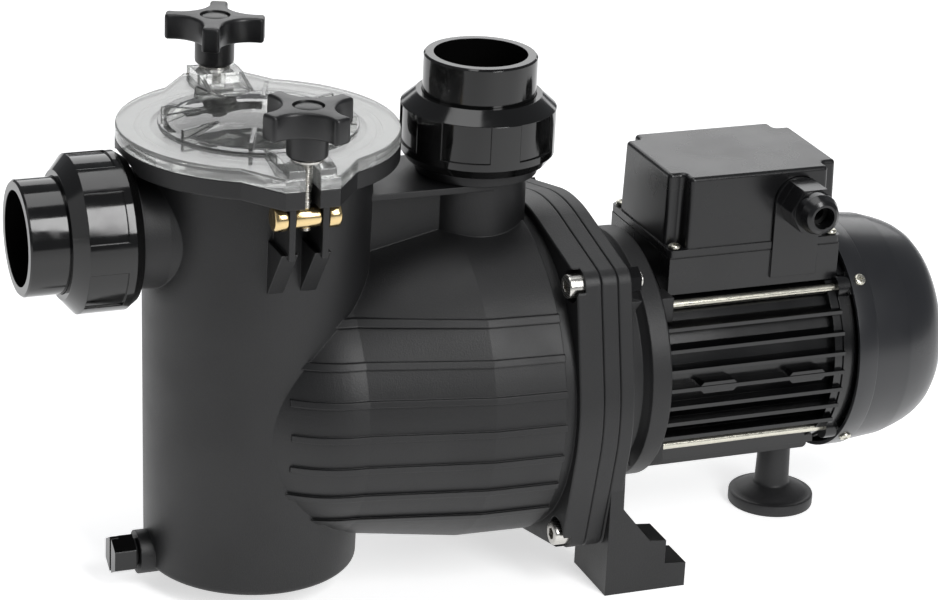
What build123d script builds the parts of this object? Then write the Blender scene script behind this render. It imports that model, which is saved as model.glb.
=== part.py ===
from build123d import *
import math
import os

# Self-priming swimming-pool pump. Millimetres, +X along the shaft from the strainer pot to the fan,
# +Z up. The origin is on the floor, midway between the two slots that bolt the bracket's feet down.

# ---------------------------------------------------------------- driving dimensions
# overall layout
shaft_height = 106.5        # shaft centre above the floor
pot_x = -203.0              # axis of the strainer pot
discharge_x = -80.0         # axis of the discharge port
suction_height = 205.5      # axis of the suction port
suction_rim = 129.0         # socket rim of the suction union, ahead of the pot axis
discharge_rim = 287.0       # socket rim of the discharge union, above the floor
joint_x = -38.0             # face where the casing meets the seal plate

# clearances
slack = 0.3                 # between loose neighbours on different bodies
running = 0.05              # radial, hinge pins and turning spigots
seat_gap = 0.05             # between a seal and the faces that hold it

# strainer pot
pot_base = 11.0
pot_base_radius = 57.8
pot_top_radius = 61.2
pot_wall = 4.6
pot_floor = 5.0
rim_top = 251.0             # face that the lid sits over
rim_thickness = 9.6
rim_radius = 74.5
lug_reach = 89.0            # tip of the lid lugs from the pot axis
lug_half_width = 14.5
lug_root_half = 31.0
bolt_reach = 78.5           # swing bolts from the pot axis
lug_slot_half = 4.0
ledge_height = 168.0        # shelf that carries the strainer basket
ledge_width = 3.4

# lid
lid_rim_thickness = 6.8
lug_top = 264.0
dome_radius = 49.0
dome_top = 266.0
lid_wall = 4.0
lid_plug_depth = 7.0
lid_seal_radius = 63.0
lid_seal_wire = 1.8

# swing bolts and knobs
hinge_height = 234.2
trunnion_radius = 5.9
trunnion_half = 6.9
trunnion_neck = 3.5
trunnion_head = 6.8
trunnion_end = 17.8
clevis_gap_half = 7.25
clevis_plate = 3.2
rib_top = 215.0
rib_foot = 186.0
wedge_half = 4.3
stud_radius = 3.0
stud_above = 52.0
stud_below = 8.0
washer_radius = 8.5
washer_thickness = 1.2
knob_hub_radius = 10.7
knob_hub_height = 13.4
knob_grip_height = 13.8
knob_reach = 27.0
knob_arm_half = 5.4         # half the width of each arm's end
knob_waist = 13.5           # from the knob's axis to the hollow between two arms
knob_turn = {-1: 23.0, 1: 68.0}     # how the arms of each knob stand at rest, degrees from +X

# pump drum behind the pot
nose_x = 39.0               # from the pot axis to the drum's first full section
nose_depth = 70.5
drum_front_radius = 78.5
drum_front_drop = 4.0       # the drum's nose sits this much under the shaft
drum_mid_x = 105.0
drum_mid_radius = 90.6
drum_mid_drop = 1.0
drum_rear_radius = 92.3
drum_wall = 5.0
rib_pitch = 18.5
rib_width = 3.4
rib_proud = 1.5
neck_width = 6.5
neck_depth = 2.6

# flange stack
flange_radius = 94.5
flange_corner = 8.6
flange_bolt_offset = 72.0   # each flange bolt from the shaft, across and up
casing_flange = 14.0
seal_plate_thickness = 9.5
bracket_flange = 8.0
bolt_size = 8.0
bolt_pocket_depth = 5.0
bolt_engagement = 9.0

# hydraulic parts inside the drum
impeller_radius = 55.0
diffuser_radius = 71.0
diffuser_wall = 3.0
nose_tube_radius = 24.0
nose_tube_wall = 3.0
eye_radius = 20.0
nose_seal_x = pot_x + 68.0
nose_seal_wire = 1.4

# unions, both for 50 mm solvent-weld pipe
socket_bore = 25.15
socket_radius = 30.5
socket_depth = 31.0
union_bore = 22.5
tail_flange_radius = 36.0
tail_flange_start = 29.3
tail_length = 36.0
nut_start = 21.0
nut_end = 57.5
nut_radius = 41.8
nut_chamfer = 7.0
nut_panels = 6
panel_half_width = 13.2
panel_depth = 1.0
thread_radius = 36.4
suction_stub_radius = 31.5
discharge_stub_radius = 27.5
collar_end = 64.0
union_seal_radius = 29.0
union_seal_wire = 1.75

# drain
drain_height = 18.4
drain_boss_radius = 11.9
drain_boss_reach = 64.4
drain_bore = 5.5
drain_hex = 19.0
drain_head = 12.0

# bracket with its feet
collar_start_x = 0.0
collar_end_x = 13.0
collar_radius = 70.0
foot_outer = 87.0
foot_inner = 44.0
foot_gusset = 65.0
foot_front_x = -27.5
foot_rear_x = 20.0
slot_offset = 54.5
slot_radius = 4.5
slot_length = 13.0
rod_offset = 42.0           # tie rods from the shaft, across and up
rod_radius = 2.5
rod_boss = 7.0
rod_boss_end = 20.0
rod_nut_x = -12.0
rod_nut_flats = 8.0
rod_nut_thickness = 3.5

# motor
housing_radius = 56.0
housing_bore = 52.0
fin_radius = 64.0
fin_pitch = 10.8
fin_thickness = 2.2
housing_end_x = 121.0
pad_top = 163.0
shaft_radius = 7.5
bearing_radius = 17.5
bearing_width = 11.0
front_bearing_x = -2.0
ball_radius = 2.9
ball_count = 8
core_length = 70.0
core_setback = 21.0         # end of the laminations ahead of the housing's end
rotor_radius = 30.0
air_gap = 0.4
shield_thickness = 7.5
end_ring_radius = 61.0
end_ring_width = 5.0
cover_length = 64.5
cover_mouth_radius = 67.0
cover_mid_radius = 64.0
cover_wall = 2.2
fan_setback = 10.5          # fan behind the rear shield
fan_width = 24.0
fan_radius = 56.0

# motor foot
bar_top = 46.0
bar_bottom = 38.5
bar_half_width = 14.0
bar_tongue_top = 44.0
bar_overhang = 7.0          # tongue of the rail, past the housing's end
foot_setback = 6.0          # foot ahead of the housing's end
foot_disc_radius = 24.5
foot_stem_radius = 10.0     # at its root; it narrows upwards
foot_stem_top = 9.1
foot_disc_height = 7.0
foot_dome = 6.0             # how far the stem's root stands over the disc's edge

# terminal box
box_length = 104.0
box_overhang = 3.0          # box past the housing's end
box_half_width = 40.0
box_bottom = 153.0
box_seam = 174.0
box_flange_top = 179.0
box_top = 219.5
box_wall = 2.5
box_notch = 9.0
box_draft = 1.6
gland_setback = 28.5        # gland ahead of the box's end
gland_height = 202.5
gland_hex = 24.0
arch_radius = 13.8
cable_radius = 4.75

# values that follow
X_CENTRE = (Align.CENTER, Align.CENTER, Align.MIN)
flange_front_x = joint_x - casing_flange
plate_rear_x = joint_x + seal_plate_thickness
bracket_rear_x = plate_rear_x + bracket_flange
rim_bottom = rim_top - rim_thickness
lid_low = rim_top + slack
lid_high = lid_low + lid_rim_thickness
hub_bottom = lug_top + 2 * slack + washer_thickness
stations = [(sy, sz) for sy in (-1, 1) for sz in (-1, 1)]
rear_bearing_x = housing_end_x - 5
core_end = housing_end_x - core_setback
core_start = core_end - core_length
rear_shield_end = housing_end_x + shield_thickness
cover_screw_x = rear_shield_end + 5.5
cover_spigot_end = rear_shield_end + 10.5
cover_step_x = cover_spigot_end + 1
cover_mid_x = cover_step_x + 22
cover_end_x = rear_shield_end + cover_length
fan_start = rear_shield_end + fan_setback
fan_end = fan_start + fan_width
bar_end_x = housing_end_x + bar_overhang
foot_x = housing_end_x - foot_setback
box_end_x = housing_end_x + box_overhang
box_start_x = box_end_x - box_length
gland_x = box_end_x - gland_setback


# ---------------------------------------------------------------- shaping helpers
def rod_x(x0, x1, radius, y=0.0, z=shaft_height):
    """Cylinder along X between two stations."""
    return Pos(x0, y, z) * Rot(0, 90, 0) * Cylinder(radius, x1 - x0, align=X_CENTRE)


def rod_y(y0, y1, radius, x=0.0, z=0.0):
    """Cylinder along Y between two stations."""
    return Pos(x, y1, z) * Rot(90, 0, 0) * Cylinder(radius, y1 - y0, align=X_CENTRE)


def rod_z(z0, z1, radius, x=0.0, y=0.0):
    """Cylinder along Z between two stations."""
    return Pos(x, y, z0) * Cylinder(radius, z1 - z0, align=X_CENTRE)


def turned_x(points, z=shaft_height):
    """Solid turned about a line along X from (station, radius) points."""
    return Pos(0, 0, z) * revolve(make_face(Polyline(*points, close=True)), Axis.X)


def turned_z(points, x=0.0, y=0.0):
    """Solid turned about a vertical line from (radius, height) points."""
    face = make_face(Polyline(*points, close=True))
    return Pos(x, y, 0) * Rot(90, 0, 0) * revolve(face, Axis.Y)


def slab_x(sketch, x0, x1, z=shaft_height):
    """Sketch drawn looking along the shaft (Y across, Z up), made a plate between two stations."""
    return extrude(Pos(x0, 0, z) * (Plane.YZ * sketch), amount=x1 - x0)


def slab_y(points, y0, y1):
    """Plate in the XZ plane between two Y stations."""
    face = Plane.XZ * make_face(Polyline(*points, close=True))
    return extrude(Pos(0, y1, 0) * face, amount=y1 - y0)


def block(x0, x1, y0, y1, z0, z1):
    return Pos(x0, y0, z0) * Box(x1 - x0, y1 - y0, z1 - z0, align=(Align.MIN, Align.MIN, Align.MIN))


def hexagon(across_flats):
    return RegularPolygon(across_flats / 2, 6, major_radius=False)


def ring(major, wire):
    return Torus(major, wire)


def total(shapes):
    """One shape from a list of shapes that touch."""
    result = shapes[0]
    for shape in shapes[1:]:
        result = result + shape
    return result


def group(shapes):
    """Separate solids kept side by side in one node."""
    return Compound(children=[s for shape in shapes for s in shape.solids()])


# ---------------------------------------------------------------- outlines shared by mating pieces
def tapered_ear(radius, corner_distance, corner_radius):
    """Corner along +X: a small disc and the straight sides that run tangent to the big circle."""
    angle = math.acos((radius - corner_radius) / corner_distance)
    c, s = math.cos(angle), math.sin(angle)
    near = (radius * c, radius * s)
    far = (corner_distance + corner_radius * c, corner_radius * s)
    side = Polyline((0, 0), near, far, (far[0], -far[1]), (near[0], -near[1]), close=True)
    return make_face(side) + Pos(corner_distance, 0) * Circle(corner_radius)


def flange_outline():
    """Round flange drawn out to a soft square by its four bolt ears."""
    distance = flange_bolt_offset * math.sqrt(2)
    outline = Circle(flange_radius)
    for k in range(4):
        outline = outline + Rot(0, 0, 45 + 90 * k) * tapered_ear(flange_radius, distance, flange_corner)
    return outline


def flange_slab(x0, x1):
    """Plate of the flange outline with softened rims."""
    slab = slab_x(flange_outline(), x0, x1)
    return chamfer(slab.edges().group_by(Axis.X)[0] + slab.edges().group_by(Axis.X)[-1], 0.7)


def flange_holes(radius):
    return total([Pos(flange_bolt_offset * a, flange_bolt_offset * b) * Circle(radius) for a, b in stations])


def lid_outline():
    """Round rim with a tapering lug front and back, shared by the pot and the lid."""
    outline = Circle(rim_radius)
    root = math.sqrt(rim_radius ** 2 - lug_root_half ** 2)
    for side in (-1, 1):
        lug = Polyline((0, 0), (lug_root_half, side * root), (lug_half_width, side * lug_reach),
                       (-lug_half_width, side * lug_reach), (-lug_root_half, side * root), close=True)
        outline = outline + make_face(lug)
    return outline


def lug_slots(z0, z1):
    """Open-ended slots that the swing bolts drop into."""
    cuts = []
    for side in (-1, 1):
        inner = side * (bolt_reach - lug_slot_half - 1.0)
        outer = side * (lug_reach + 20)
        cuts.append(block(pot_x - lug_slot_half, pot_x + lug_slot_half,
                          min(inner, outer), max(inner, outer), z0, z1))
    return total(cuts)


# ---------------------------------------------------------------- casing
def drum_form(inset, rear_x):
    """Drum behind the pot: an egg-shaped nose running into a slightly dropped cone."""
    x1 = pot_x + nose_x
    x2 = pot_x + drum_mid_x
    z1 = shaft_height - drum_front_drop
    front_radius = drum_front_radius - inset
    arc = EllipticalCenterArc((x1, 0), nose_depth - inset, front_radius, start_angle=90, arc_size=90)
    edges = [arc, Line((x1 - nose_depth + inset, 0), (x1, 0)), Line((x1, 0), (x1, front_radius))]
    nose = Pos(0, 0, z1) * revolve(make_face(edges), Axis.X)
    sections = [(x1, z1, front_radius),
                (x2, shaft_height - drum_mid_drop, drum_mid_radius - inset),
                (rear_x, shaft_height, drum_rear_radius - inset)]
    faces = [Plane(origin=(x, 0, z), x_dir=(0, 1, 0), z_dir=(1, 0, 0)) * Circle(r) for x, z, r in sections]
    return nose + loft(faces, ruled=True)


def drum_ribs():
    """Level ribs along both flanks of the drum."""
    swell = drum_form(-rib_proud, flange_front_x)
    keep = []
    for k in range(-3, 4):
        z = shaft_height + k * rib_pitch
        keep.append(block(pot_x, flange_front_x - neck_width, -110, 110, z - rib_width / 2, z + rib_width / 2))
    return swell & total(keep)


def pot_shell():
    height = rim_top - pot_base
    body = Pos(pot_x, 0, pot_base) * Cone(pot_base_radius, pot_top_radius, height, align=X_CENTRE)
    return fillet(body.edges().group_by(Axis.Z)[0], 3.5)


def pot_rim():
    """Flange under the lid, scooped out over the suction nut."""
    rim = extrude(Pos(pot_x, 0, rim_bottom) * lid_outline(), amount=rim_thickness)
    rim = fillet(rim.edges().group_by(Axis.Z)[0], 1.0)
    nut_end_x = pot_x - suction_rim + nut_end
    return rim - rod_x(nut_end_x - 20, nut_end_x + 1.5, nut_radius + 1.0, z=suction_height)


def pot_cavity():
    """Inside of the pot, narrower under the shelf that carries the basket."""
    top = pot_top_radius - pot_wall
    low = pot_base_radius - pot_wall
    return turned_z([(0, pot_base + pot_floor), (low, pot_base + pot_floor),
                     (low + 1.0, ledge_height - 6), (top - ledge_width, ledge_height),
                     (top, ledge_height), (top, rim_top + 1), (0, rim_top + 1)], x=pot_x)


def clevis_plates():
    """Pair of cheeks on each side of the pot that hold a swing bolt, on wedge ribs that run down the pot."""
    front = bolt_reach + 6.5
    cheek = [(50, rib_top - 2), (front, rib_top - 2), (front, rim_bottom + 1), (50, rim_bottom + 1)]
    wedge = [(50, rib_foot), (60, rib_foot), (front - 3, rib_top), (50, rib_top)]
    middle = clevis_gap_half + clevis_plate / 2
    plates = []
    for side in (-1, 1):
        for hand in (-1, 1):
            for outline, half in ((cheek, clevis_plate / 2), (wedge, wedge_half)):
                face = Plane.YZ * make_face(Polyline(*[(side * y, z) for y, z in outline], close=True))
                plates.append(extrude(Pos(pot_x + hand * middle - half, 0, 0) * face, amount=2 * half))
    return total(plates)


def hinge_holes():
    half = clevis_gap_half + clevis_plate + 1
    holes = [rod_x(pot_x - half, pot_x + half, trunnion_neck + running, side * bolt_reach, hinge_height)
             for side in (-1, 1)]
    return total(holes)


def discharge_stub():
    """Pipe up from the drum with the collar and the male thread of the union."""
    top = discharge_rim - tail_length
    thread_bottom = discharge_rim - nut_end
    collar_bottom = discharge_rim - collar_end
    low = shaft_height + 40
    return turned_z([(0, low), (discharge_stub_radius, low), (discharge_stub_radius, collar_bottom - 2),
                     (33.0, collar_bottom), (33.0, thread_bottom - 1.5), (thread_radius, thread_bottom - 1.0),
                     (thread_radius, top), (0, top)], x=discharge_x)


def suction_stub():
    """Pipe out of the pot's front with the male thread of the union, flared where it meets the pot."""
    tip = pot_x - suction_rim + tail_length
    thread_end = pot_x - suction_rim + nut_end
    return turned_x([(tip, 0), (tip, thread_radius), (thread_end + 1, thread_radius),
                     (thread_end + 1.5, suction_stub_radius), (pot_x - 56, suction_stub_radius + 1.0),
                     (pot_x - 40, suction_stub_radius + 4), (pot_x - 40, 0)], z=suction_height)


def stub_bores():
    up = rod_z(shaft_height + 60, discharge_rim, union_bore, discharge_x)
    ahead = rod_x(pot_x - suction_rim, pot_x - 30, union_bore, z=suction_height)
    seat_z = discharge_rim - tail_length
    seat_x = pot_x - suction_rim + tail_length
    groove = union_seal_wire + seat_gap
    up_groove = rod_z(seat_z - 2 * groove, seat_z, union_seal_radius + groove, discharge_x)
    up_groove -= rod_z(seat_z - 2 * groove, seat_z, union_seal_radius - groove, discharge_x)
    ahead_groove = rod_x(seat_x, seat_x + 2 * groove, union_seal_radius + groove, z=suction_height)
    ahead_groove -= rod_x(seat_x, seat_x + 2 * groove, union_seal_radius - groove, z=suction_height)
    return up + ahead + up_groove + ahead_groove


def top_gusset():
    """Level plate and two upright webs that tie the pot to the discharge pipe."""
    top = discharge_rim - collar_end - 0.5
    shelf = block(pot_x + 50, discharge_x, -28, 28, top - 3.5, top)
    webs = [block(pot_x + 50, discharge_x - 10, y - 1.75, y + 1.75, shaft_height + 60, top - 1)
            for y in (-10.5, 10.5)]
    return shelf + total(webs)


def drain_boss():
    boss = rod_x(pot_x - drain_boss_reach, pot_x - 45, drain_boss_radius, z=drain_height)
    web = block(pot_x - 60, pot_x - 45, -2, 2, 9.0, 20.0)
    return boss + web


def nose_groove():
    """Groove in the sleeve for the ring that seals on the nose tube."""
    half = nose_seal_wire + seat_gap
    return rod_x(nose_seal_x - half, nose_seal_x + half, nose_tube_radius + 2 * half)


def inlet_boss():
    """Sleeve on the pot's rear wall, inside the drum, that seals on the diffuser's nose tube."""
    return rod_x(pot_x + 50, pot_x + 76, nose_tube_radius + 6)


def pump_casing():
    skin = pot_shell() + drum_form(0, flange_front_x) + drum_ribs() + pot_rim()
    skin = skin - neck_groove()
    skin = skin + flange_slab(flange_front_x, joint_x)
    skin = skin + discharge_stub() + suction_stub() + top_gusset() + clevis_plates() + drain_boss()
    pot_plug = Pos(pot_x, 0, pot_base) * Cone(pot_base_radius, pot_top_radius, rim_top - pot_base,
                                              align=X_CENTRE)
    drum_hollow = drum_form(drum_wall, joint_x) - pot_plug - inlet_boss()
    mouth = rod_x(joint_x - 8, joint_x, drum_rear_radius - drum_wall)
    skin = skin - pot_cavity() - drum_hollow - mouth - stub_bores() - hinge_holes()
    skin = skin - rod_x(pot_x + 30, pot_x + 80, nose_tube_radius + running + 0.1) - nose_groove()
    skin = skin - lug_slots(rim_bottom - 30, rim_top + 1)
    skin = skin - lid_groove() - flange_bolt_cuts() - drain_cut()
    return skin


def neck_groove():
    """Recess between the ends of the ribs and the flange."""
    outer = rod_x(flange_front_x - neck_width, flange_front_x, drum_rear_radius + 6)
    return outer - rod_x(flange_front_x - neck_width, flange_front_x, drum_rear_radius - neck_depth)


def flange_bolt_cuts():
    """Clearance holes and the pockets that sink the socket heads."""
    cuts = slab_x(flange_holes(bolt_size / 2 + 0.25), flange_front_x - 1, joint_x + 1)
    return cuts + slab_x(flange_holes(9.0), flange_front_x - 12, flange_front_x + bolt_pocket_depth)


def lid_groove():
    outer = lid_seal_radius + lid_seal_wire + seat_gap
    inner = lid_seal_radius - lid_seal_wire - seat_gap
    floor = rim_top - 2 * lid_seal_wire - seat_gap
    return rod_z(floor, rim_top, outer, pot_x) - rod_z(floor, rim_top, inner, pot_x)


def drain_cut():
    return rod_x(pot_x - drain_boss_reach - 1, pot_x - 40, drain_bore, z=drain_height)


# ---------------------------------------------------------------- lid, seal, basket
def dome_form(inset, foot):
    """Low dome turned about the pot axis, standing on a short plinth."""
    base = dome_radius - inset
    spring = lid_high + 1.0 - inset / 4
    crown = dome_top - inset
    rise = crown - spring
    curve = (base ** 2 + rise ** 2) / (2 * rise)
    half = (base / 2, crown - curve + math.sqrt(curve ** 2 - base ** 2 / 4))
    edges = [Line((0, crown), (0, foot)), Line((0, foot), (base, foot)), Line((base, foot), (base, spring)),
             ThreePointArc((base, spring), half, (0, crown))]
    return Pos(pot_x, 0, 0) * Rot(90, 0, 0) * revolve(make_face(edges), Axis.Y)


def lid():
    """Clear lid: flat rim with two lugs, a ring that drops into the pot and a low ribbed dome."""
    plate = extrude(Pos(pot_x, 0, lid_low) * lid_outline(), amount=lid_rim_thickness)
    plate = fillet(plate.edges().group_by(Axis.Z)[-1], 1.3)
    mouth = pot_top_radius - pot_wall - slack
    plug = rod_z(lid_low - lid_plug_depth, lid_low + 1, mouth, pot_x)
    bead = rod_z(lid_high - 1, lid_high + 1.4, dome_radius + 3.5, pot_x)
    body = plate + plug + bead + dome_form(0, lid_low) + dome_ribs() + lug_pads()
    body = body - dome_form(lid_wall, lid_low - lid_plug_depth - 1)
    return body - lug_slots(lid_low - 1, lug_top + 1) - hub_relief()


def dome_ribs():
    """Eight thin ribs standing on the dome."""
    ribs = []
    for k in range(8):
        bar = block(13, dome_radius + 2, -1.0, 1.0, lid_high, dome_top - 2.0)
        ribs.append(Pos(pot_x, 0, 0) * Rot(0, 0, 22.5 + 45 * k) * bar)
    return total(ribs)


def lug_pads():
    """Raised block on each side of both slots, and the wedge that runs from it towards the dome."""
    pads = []
    outer = lug_half_width - 2
    start = bolt_reach - 13
    for side in (-1, 1):
        ys = sorted((side * start, side * (lug_reach - 0.5)))
        pads.append(block(pot_x - outer, pot_x + outer, ys[0], ys[1], lid_low + 1, lug_top))
        wedge = [(start + 1, lid_low + 1), (start + 1, lug_top), (dome_radius - 3, lid_high + 1.5),
                 (dome_radius - 3, lid_low + 1)]
        for x in (-outer, outer - 2.2):
            face = Plane.YZ * make_face(Polyline(*[(side * y, z) for y, z in wedge], close=True))
            pads.append(extrude(Pos(pot_x + x, 0, 0) * face, amount=2.2))
    return total(pads)


def hub_relief():
    """Outer half of each lug rounded about the hinge pin, so the knob rolls off as the bolt swings."""
    cuts = []
    radius = lug_top - hinge_height
    for side in (-1, 1):
        ys = sorted((side * bolt_reach, side * (lug_reach + 5)))
        corner = block(pot_x - 20, pot_x + 20, ys[0], ys[1], lid_high, lug_top + 5)
        cuts.append(corner - rod_x(pot_x - 25, pot_x + 25, radius, side * bolt_reach, hinge_height))
    return total(cuts)


def lid_seal():
    return Pos(pot_x, 0, lid_low - seat_gap - lid_seal_wire) * ring(lid_seal_radius, lid_seal_wire)


def basket_profile(inset):
    top = ledge_height + 4.0
    low = pot_base + pot_floor + 6.0
    wide = pot_top_radius - pot_wall - ledge_width - 1.5 - inset
    narrow = pot_base_radius - pot_wall - 4.0 - inset
    return low + inset, top, narrow, wide


def strainer_basket():
    """Tapered basket with a rim that hangs on the pot's shelf and rows of upright slots."""
    low, top, narrow, wide = basket_profile(0)
    inner_low, _, inner_narrow, inner_wide = basket_profile(2.0)
    rim = pot_top_radius - pot_wall - 0.8
    seat = ledge_height + slack
    body = turned_z([(0, low), (narrow, low), (wide, seat), (rim, seat), (rim, top), (0, top)], x=pot_x)
    body -= turned_z([(0, inner_low), (inner_narrow, inner_low), (inner_wide, top), (0, top)], x=pot_x)
    slots = []
    for k in range(8):
        for z0 in (low + 8, low + 56, low + 104):
            slot = block(-wide - 5, wide + 5, -2, 2, z0, z0 + 38)
            slots.append(Pos(pot_x, 0, 0) * Rot(0, 0, 22.5 * k + 11.25) * slot)
    floor_holes = [rod_z(low - 1, inner_low + 1, 3, pot_x + r * math.cos(a), r * math.sin(a))
                   for r, n in ((14, 6), (30, 12)) for a in [2 * math.pi * i / n for i in range(n)]]
    return body - total(slots) - total(floor_holes)


def basket_handle():
    """Flat strap that arches over the basket."""
    top = ledge_height + 4.0
    half = pot_top_radius - pot_wall - ledge_width - 4.5
    outer = rod_x(pot_x - 4, pot_x + 4, half, 0, top)
    inner = rod_x(pot_x - 5, pot_x + 5, half - 2.6, 0, top)
    return (outer - inner) & block(pot_x - 6, pot_x + 6, -70, 70, top, top + 80)


# ---------------------------------------------------------------- swing bolts and knobs
def trunnion(side):
    """Brass cross-pin that the swing bolt screws into, headed at both ends."""
    cheek = clevis_gap_half + clevis_plate + 0.25
    half = [(0, trunnion_radius), (trunnion_half, trunnion_radius), (trunnion_half, trunnion_neck),
            (cheek, trunnion_neck), (cheek, trunnion_head), (trunnion_end, trunnion_head)]
    points = [(-x, r) for x, r in reversed(half[1:])] + half
    points = [(-trunnion_end, 0)] + points + [(trunnion_end, 0)]
    body = Pos(pot_x, side * bolt_reach, 0) * turned_x(points, z=hinge_height)
    return body - rod_z(hinge_height - 10, hinge_height + 10, stud_radius, pot_x, side * bolt_reach)


def stud(side):
    return rod_z(hinge_height - stud_below, hinge_height + stud_above, stud_radius,
                 pot_x, side * bolt_reach)


def washer(side):
    low = lug_top + slack
    body = rod_z(low, low + washer_thickness, washer_radius, pot_x, side * bolt_reach)
    return body - rod_z(low - 1, low + 3, stud_radius + 0.2, pot_x, side * bolt_reach)


def knob_outline():
    """Cross of four arms with hollowed sides, its corners rounded."""
    tip, half, hollow = knob_reach, knob_arm_half, knob_waist / math.sqrt(2)
    quarter = (Line((0, 0), (tip, 0)) + Line((tip, 0), (tip, half)) + ThreePointArc(
        (tip, half), (hollow, hollow), (half, tip)) + Line((half, tip), (0, tip)) + Line((0, tip), (0, 0)))
    face = make_face(quarter)
    outline = face
    for k in range(1, 4):
        outline = outline + Rot(0, 0, 90 * k) * face
    corners = [v for v in outline.vertices() if math.hypot(v.X, v.Y) > tip + 0.1]
    return fillet(corners, 2.4)


def knob(side):
    """Four-armed grip on a round hub, with a blind hole for the stud and a round dish on top."""
    y = side * bolt_reach
    grip_low = hub_bottom + knob_hub_height
    hub = rod_z(hub_bottom, grip_low + 2, knob_hub_radius, pot_x, y)
    hub = fillet(hub.edges().group_by(Axis.Z)[0], 2.5)
    grip = extrude(Rot(0, 0, knob_turn[side]) * knob_outline(), knob_grip_height)
    grip = fillet(grip.edges().group_by(Axis.Z)[-1], 1.8)
    dish = rod_z(knob_grip_height - 0.8, knob_grip_height + 1, 8.2) - rod_z(0, knob_grip_height + 1, 7.4)
    body = hub + Pos(pot_x, y, grip_low) * (grip - dish)
    stud_top = hinge_height + stud_above
    return body - rod_z(hub_bottom - 1, stud_top + 1, stud_radius + running, pot_x, y)


# ---------------------------------------------------------------- unions (built along +Z, rim at 0)
def tailpiece_form():
    """Socket for the pipe, with the flange that the nut pulls onto the stub."""
    depth = -socket_depth
    points = [(union_bore, -tail_length), (tail_flange_radius, -tail_length),
              (tail_flange_radius, -tail_flange_start), (socket_radius, -tail_flange_start),
              (socket_radius, -1.0), (socket_radius - 1.0, 0), (socket_bore, 0), (socket_bore, depth),
              (union_bore, depth)]
    return turned_z(points)


def union_nut_form():
    """Ring nut: coned outer end, shallow panels round its side, and a lip over the tailpiece flange."""
    lip = socket_radius + slack
    inner = thread_radius + slack
    shoulder = -tail_flange_start + slack
    points = [(lip, -nut_start), (nut_radius - nut_chamfer - 1, -nut_start),
              (nut_radius, -nut_start - nut_chamfer), (nut_radius, -nut_end + 5),
              (nut_radius - 3.5, -nut_end), (inner, -nut_end), (inner, shoulder), (lip, shoulder)]
    body = turned_z(points)
    low = -nut_end + 9
    high = -nut_start - nut_chamfer
    panels = []
    for k in range(nut_panels):
        panel = block(nut_radius - 8, nut_radius + 2, -panel_half_width, panel_half_width, low, high)
        panels.append(Rot(0, 0, 360 / nut_panels * k) * panel)
    skin = rod_z(low, high, nut_radius + 1) - rod_z(low, high, nut_radius - panel_depth)
    return body - (skin & total(panels))


def union_seal_form():
    return Pos(0, 0, -tail_length - union_seal_wire - seat_gap / 2) * ring(union_seal_radius, union_seal_wire)


def at_discharge(form):
    return Pos(discharge_x, 0, discharge_rim) * form


def at_suction(form):
    return Pos(pot_x - suction_rim, 0, suction_height) * Rot(0, -90, 0) * form


# ---------------------------------------------------------------- drain plug
def drain_plug():
    """Slotted hexagon head on a plain shank that fills the boss."""
    face = pot_x - drain_boss_reach - 2.2
    head = Pos(face - drain_head, 0, drain_height) * Rot(0, 90, 0) * extrude(hexagon(drain_hex), drain_head)
    shank = rod_x(face, face + 13, drain_bore - running, z=drain_height)
    slot = block(face - drain_head - 1, face - drain_head + 4, -1.4, 1.4, drain_height - 20, drain_height + 20)
    return head + shank - slot


def drain_seal():
    centre = pot_x - drain_boss_reach - 1.1
    return Pos(centre, 0, drain_height) * Rot(0, 90, 0) * ring(drain_bore + 1.1, 1.0)


# ---------------------------------------------------------------- seal plate, diffuser, impeller
def seal_plate():
    """Cover behind the impeller, with a spigot in the drum and a hub that holds the shaft seal."""
    spigot = drum_rear_radius - drum_wall - slack
    body = flange_slab(joint_x, plate_rear_x) + rod_x(joint_x - 6, joint_x, spigot)
    body = body + rod_x(joint_x, bracket_rear_x, 24.0)
    body = body - rod_x(joint_x - 7, joint_x + 12, 17.0) - rod_x(joint_x, bracket_rear_x + 1, 9.5)
    groove_x = joint_x - 3.0
    groove = rod_x(groove_x - 1.7, groove_x + 1.7, spigot + 1) - rod_x(groove_x - 1.7, groove_x + 1.7, spigot - 3)
    return body - groove - slab_x(flange_holes(bolt_size / 2 + 0.25), joint_x - 1, plate_rear_x + 1)


def casing_seal():
    outer = drum_rear_radius - drum_wall - seat_gap
    return Pos(joint_x - 3.0, 0, shaft_height) * Rot(0, 90, 0) * ring(outer - 1.6, 1.6)


def diffuser():
    """Bowl round the impeller with guide vanes, drawn out ahead into the nose tube."""
    back = joint_x - 6.2
    front = joint_x - 30
    outer, wall = diffuser_radius, diffuser_wall
    tip = pot_x + 58.5
    tube, bore = nose_tube_radius, nose_tube_radius - nose_tube_wall
    shell = turned_x([(tip, bore), (tip, tube), (front - wall, tube), (front - wall, outer - 6),
                      (front + 3, outer), (back, outer), (back, outer - wall), (front, outer - wall),
                      (front, bore)])
    vanes = []
    for k in range(9):
        vane = Pos(front - 1, impeller_radius + 8.5, -1) * Box(back - front + 1, 12, 2, align=(
            Align.MIN, Align.CENTER, Align.MIN))
        vanes.append(Pos(0, 0, shaft_height) * Rot(40 * k, 0, 0) * vane)
    return shell + total(vanes)


def diffuser_seal():
    radius = nose_tube_radius + seat_gap + nose_seal_wire
    return Pos(nose_seal_x, 0, shaft_height) * Rot(0, 90, 0) * ring(radius, nose_seal_wire)


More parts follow.
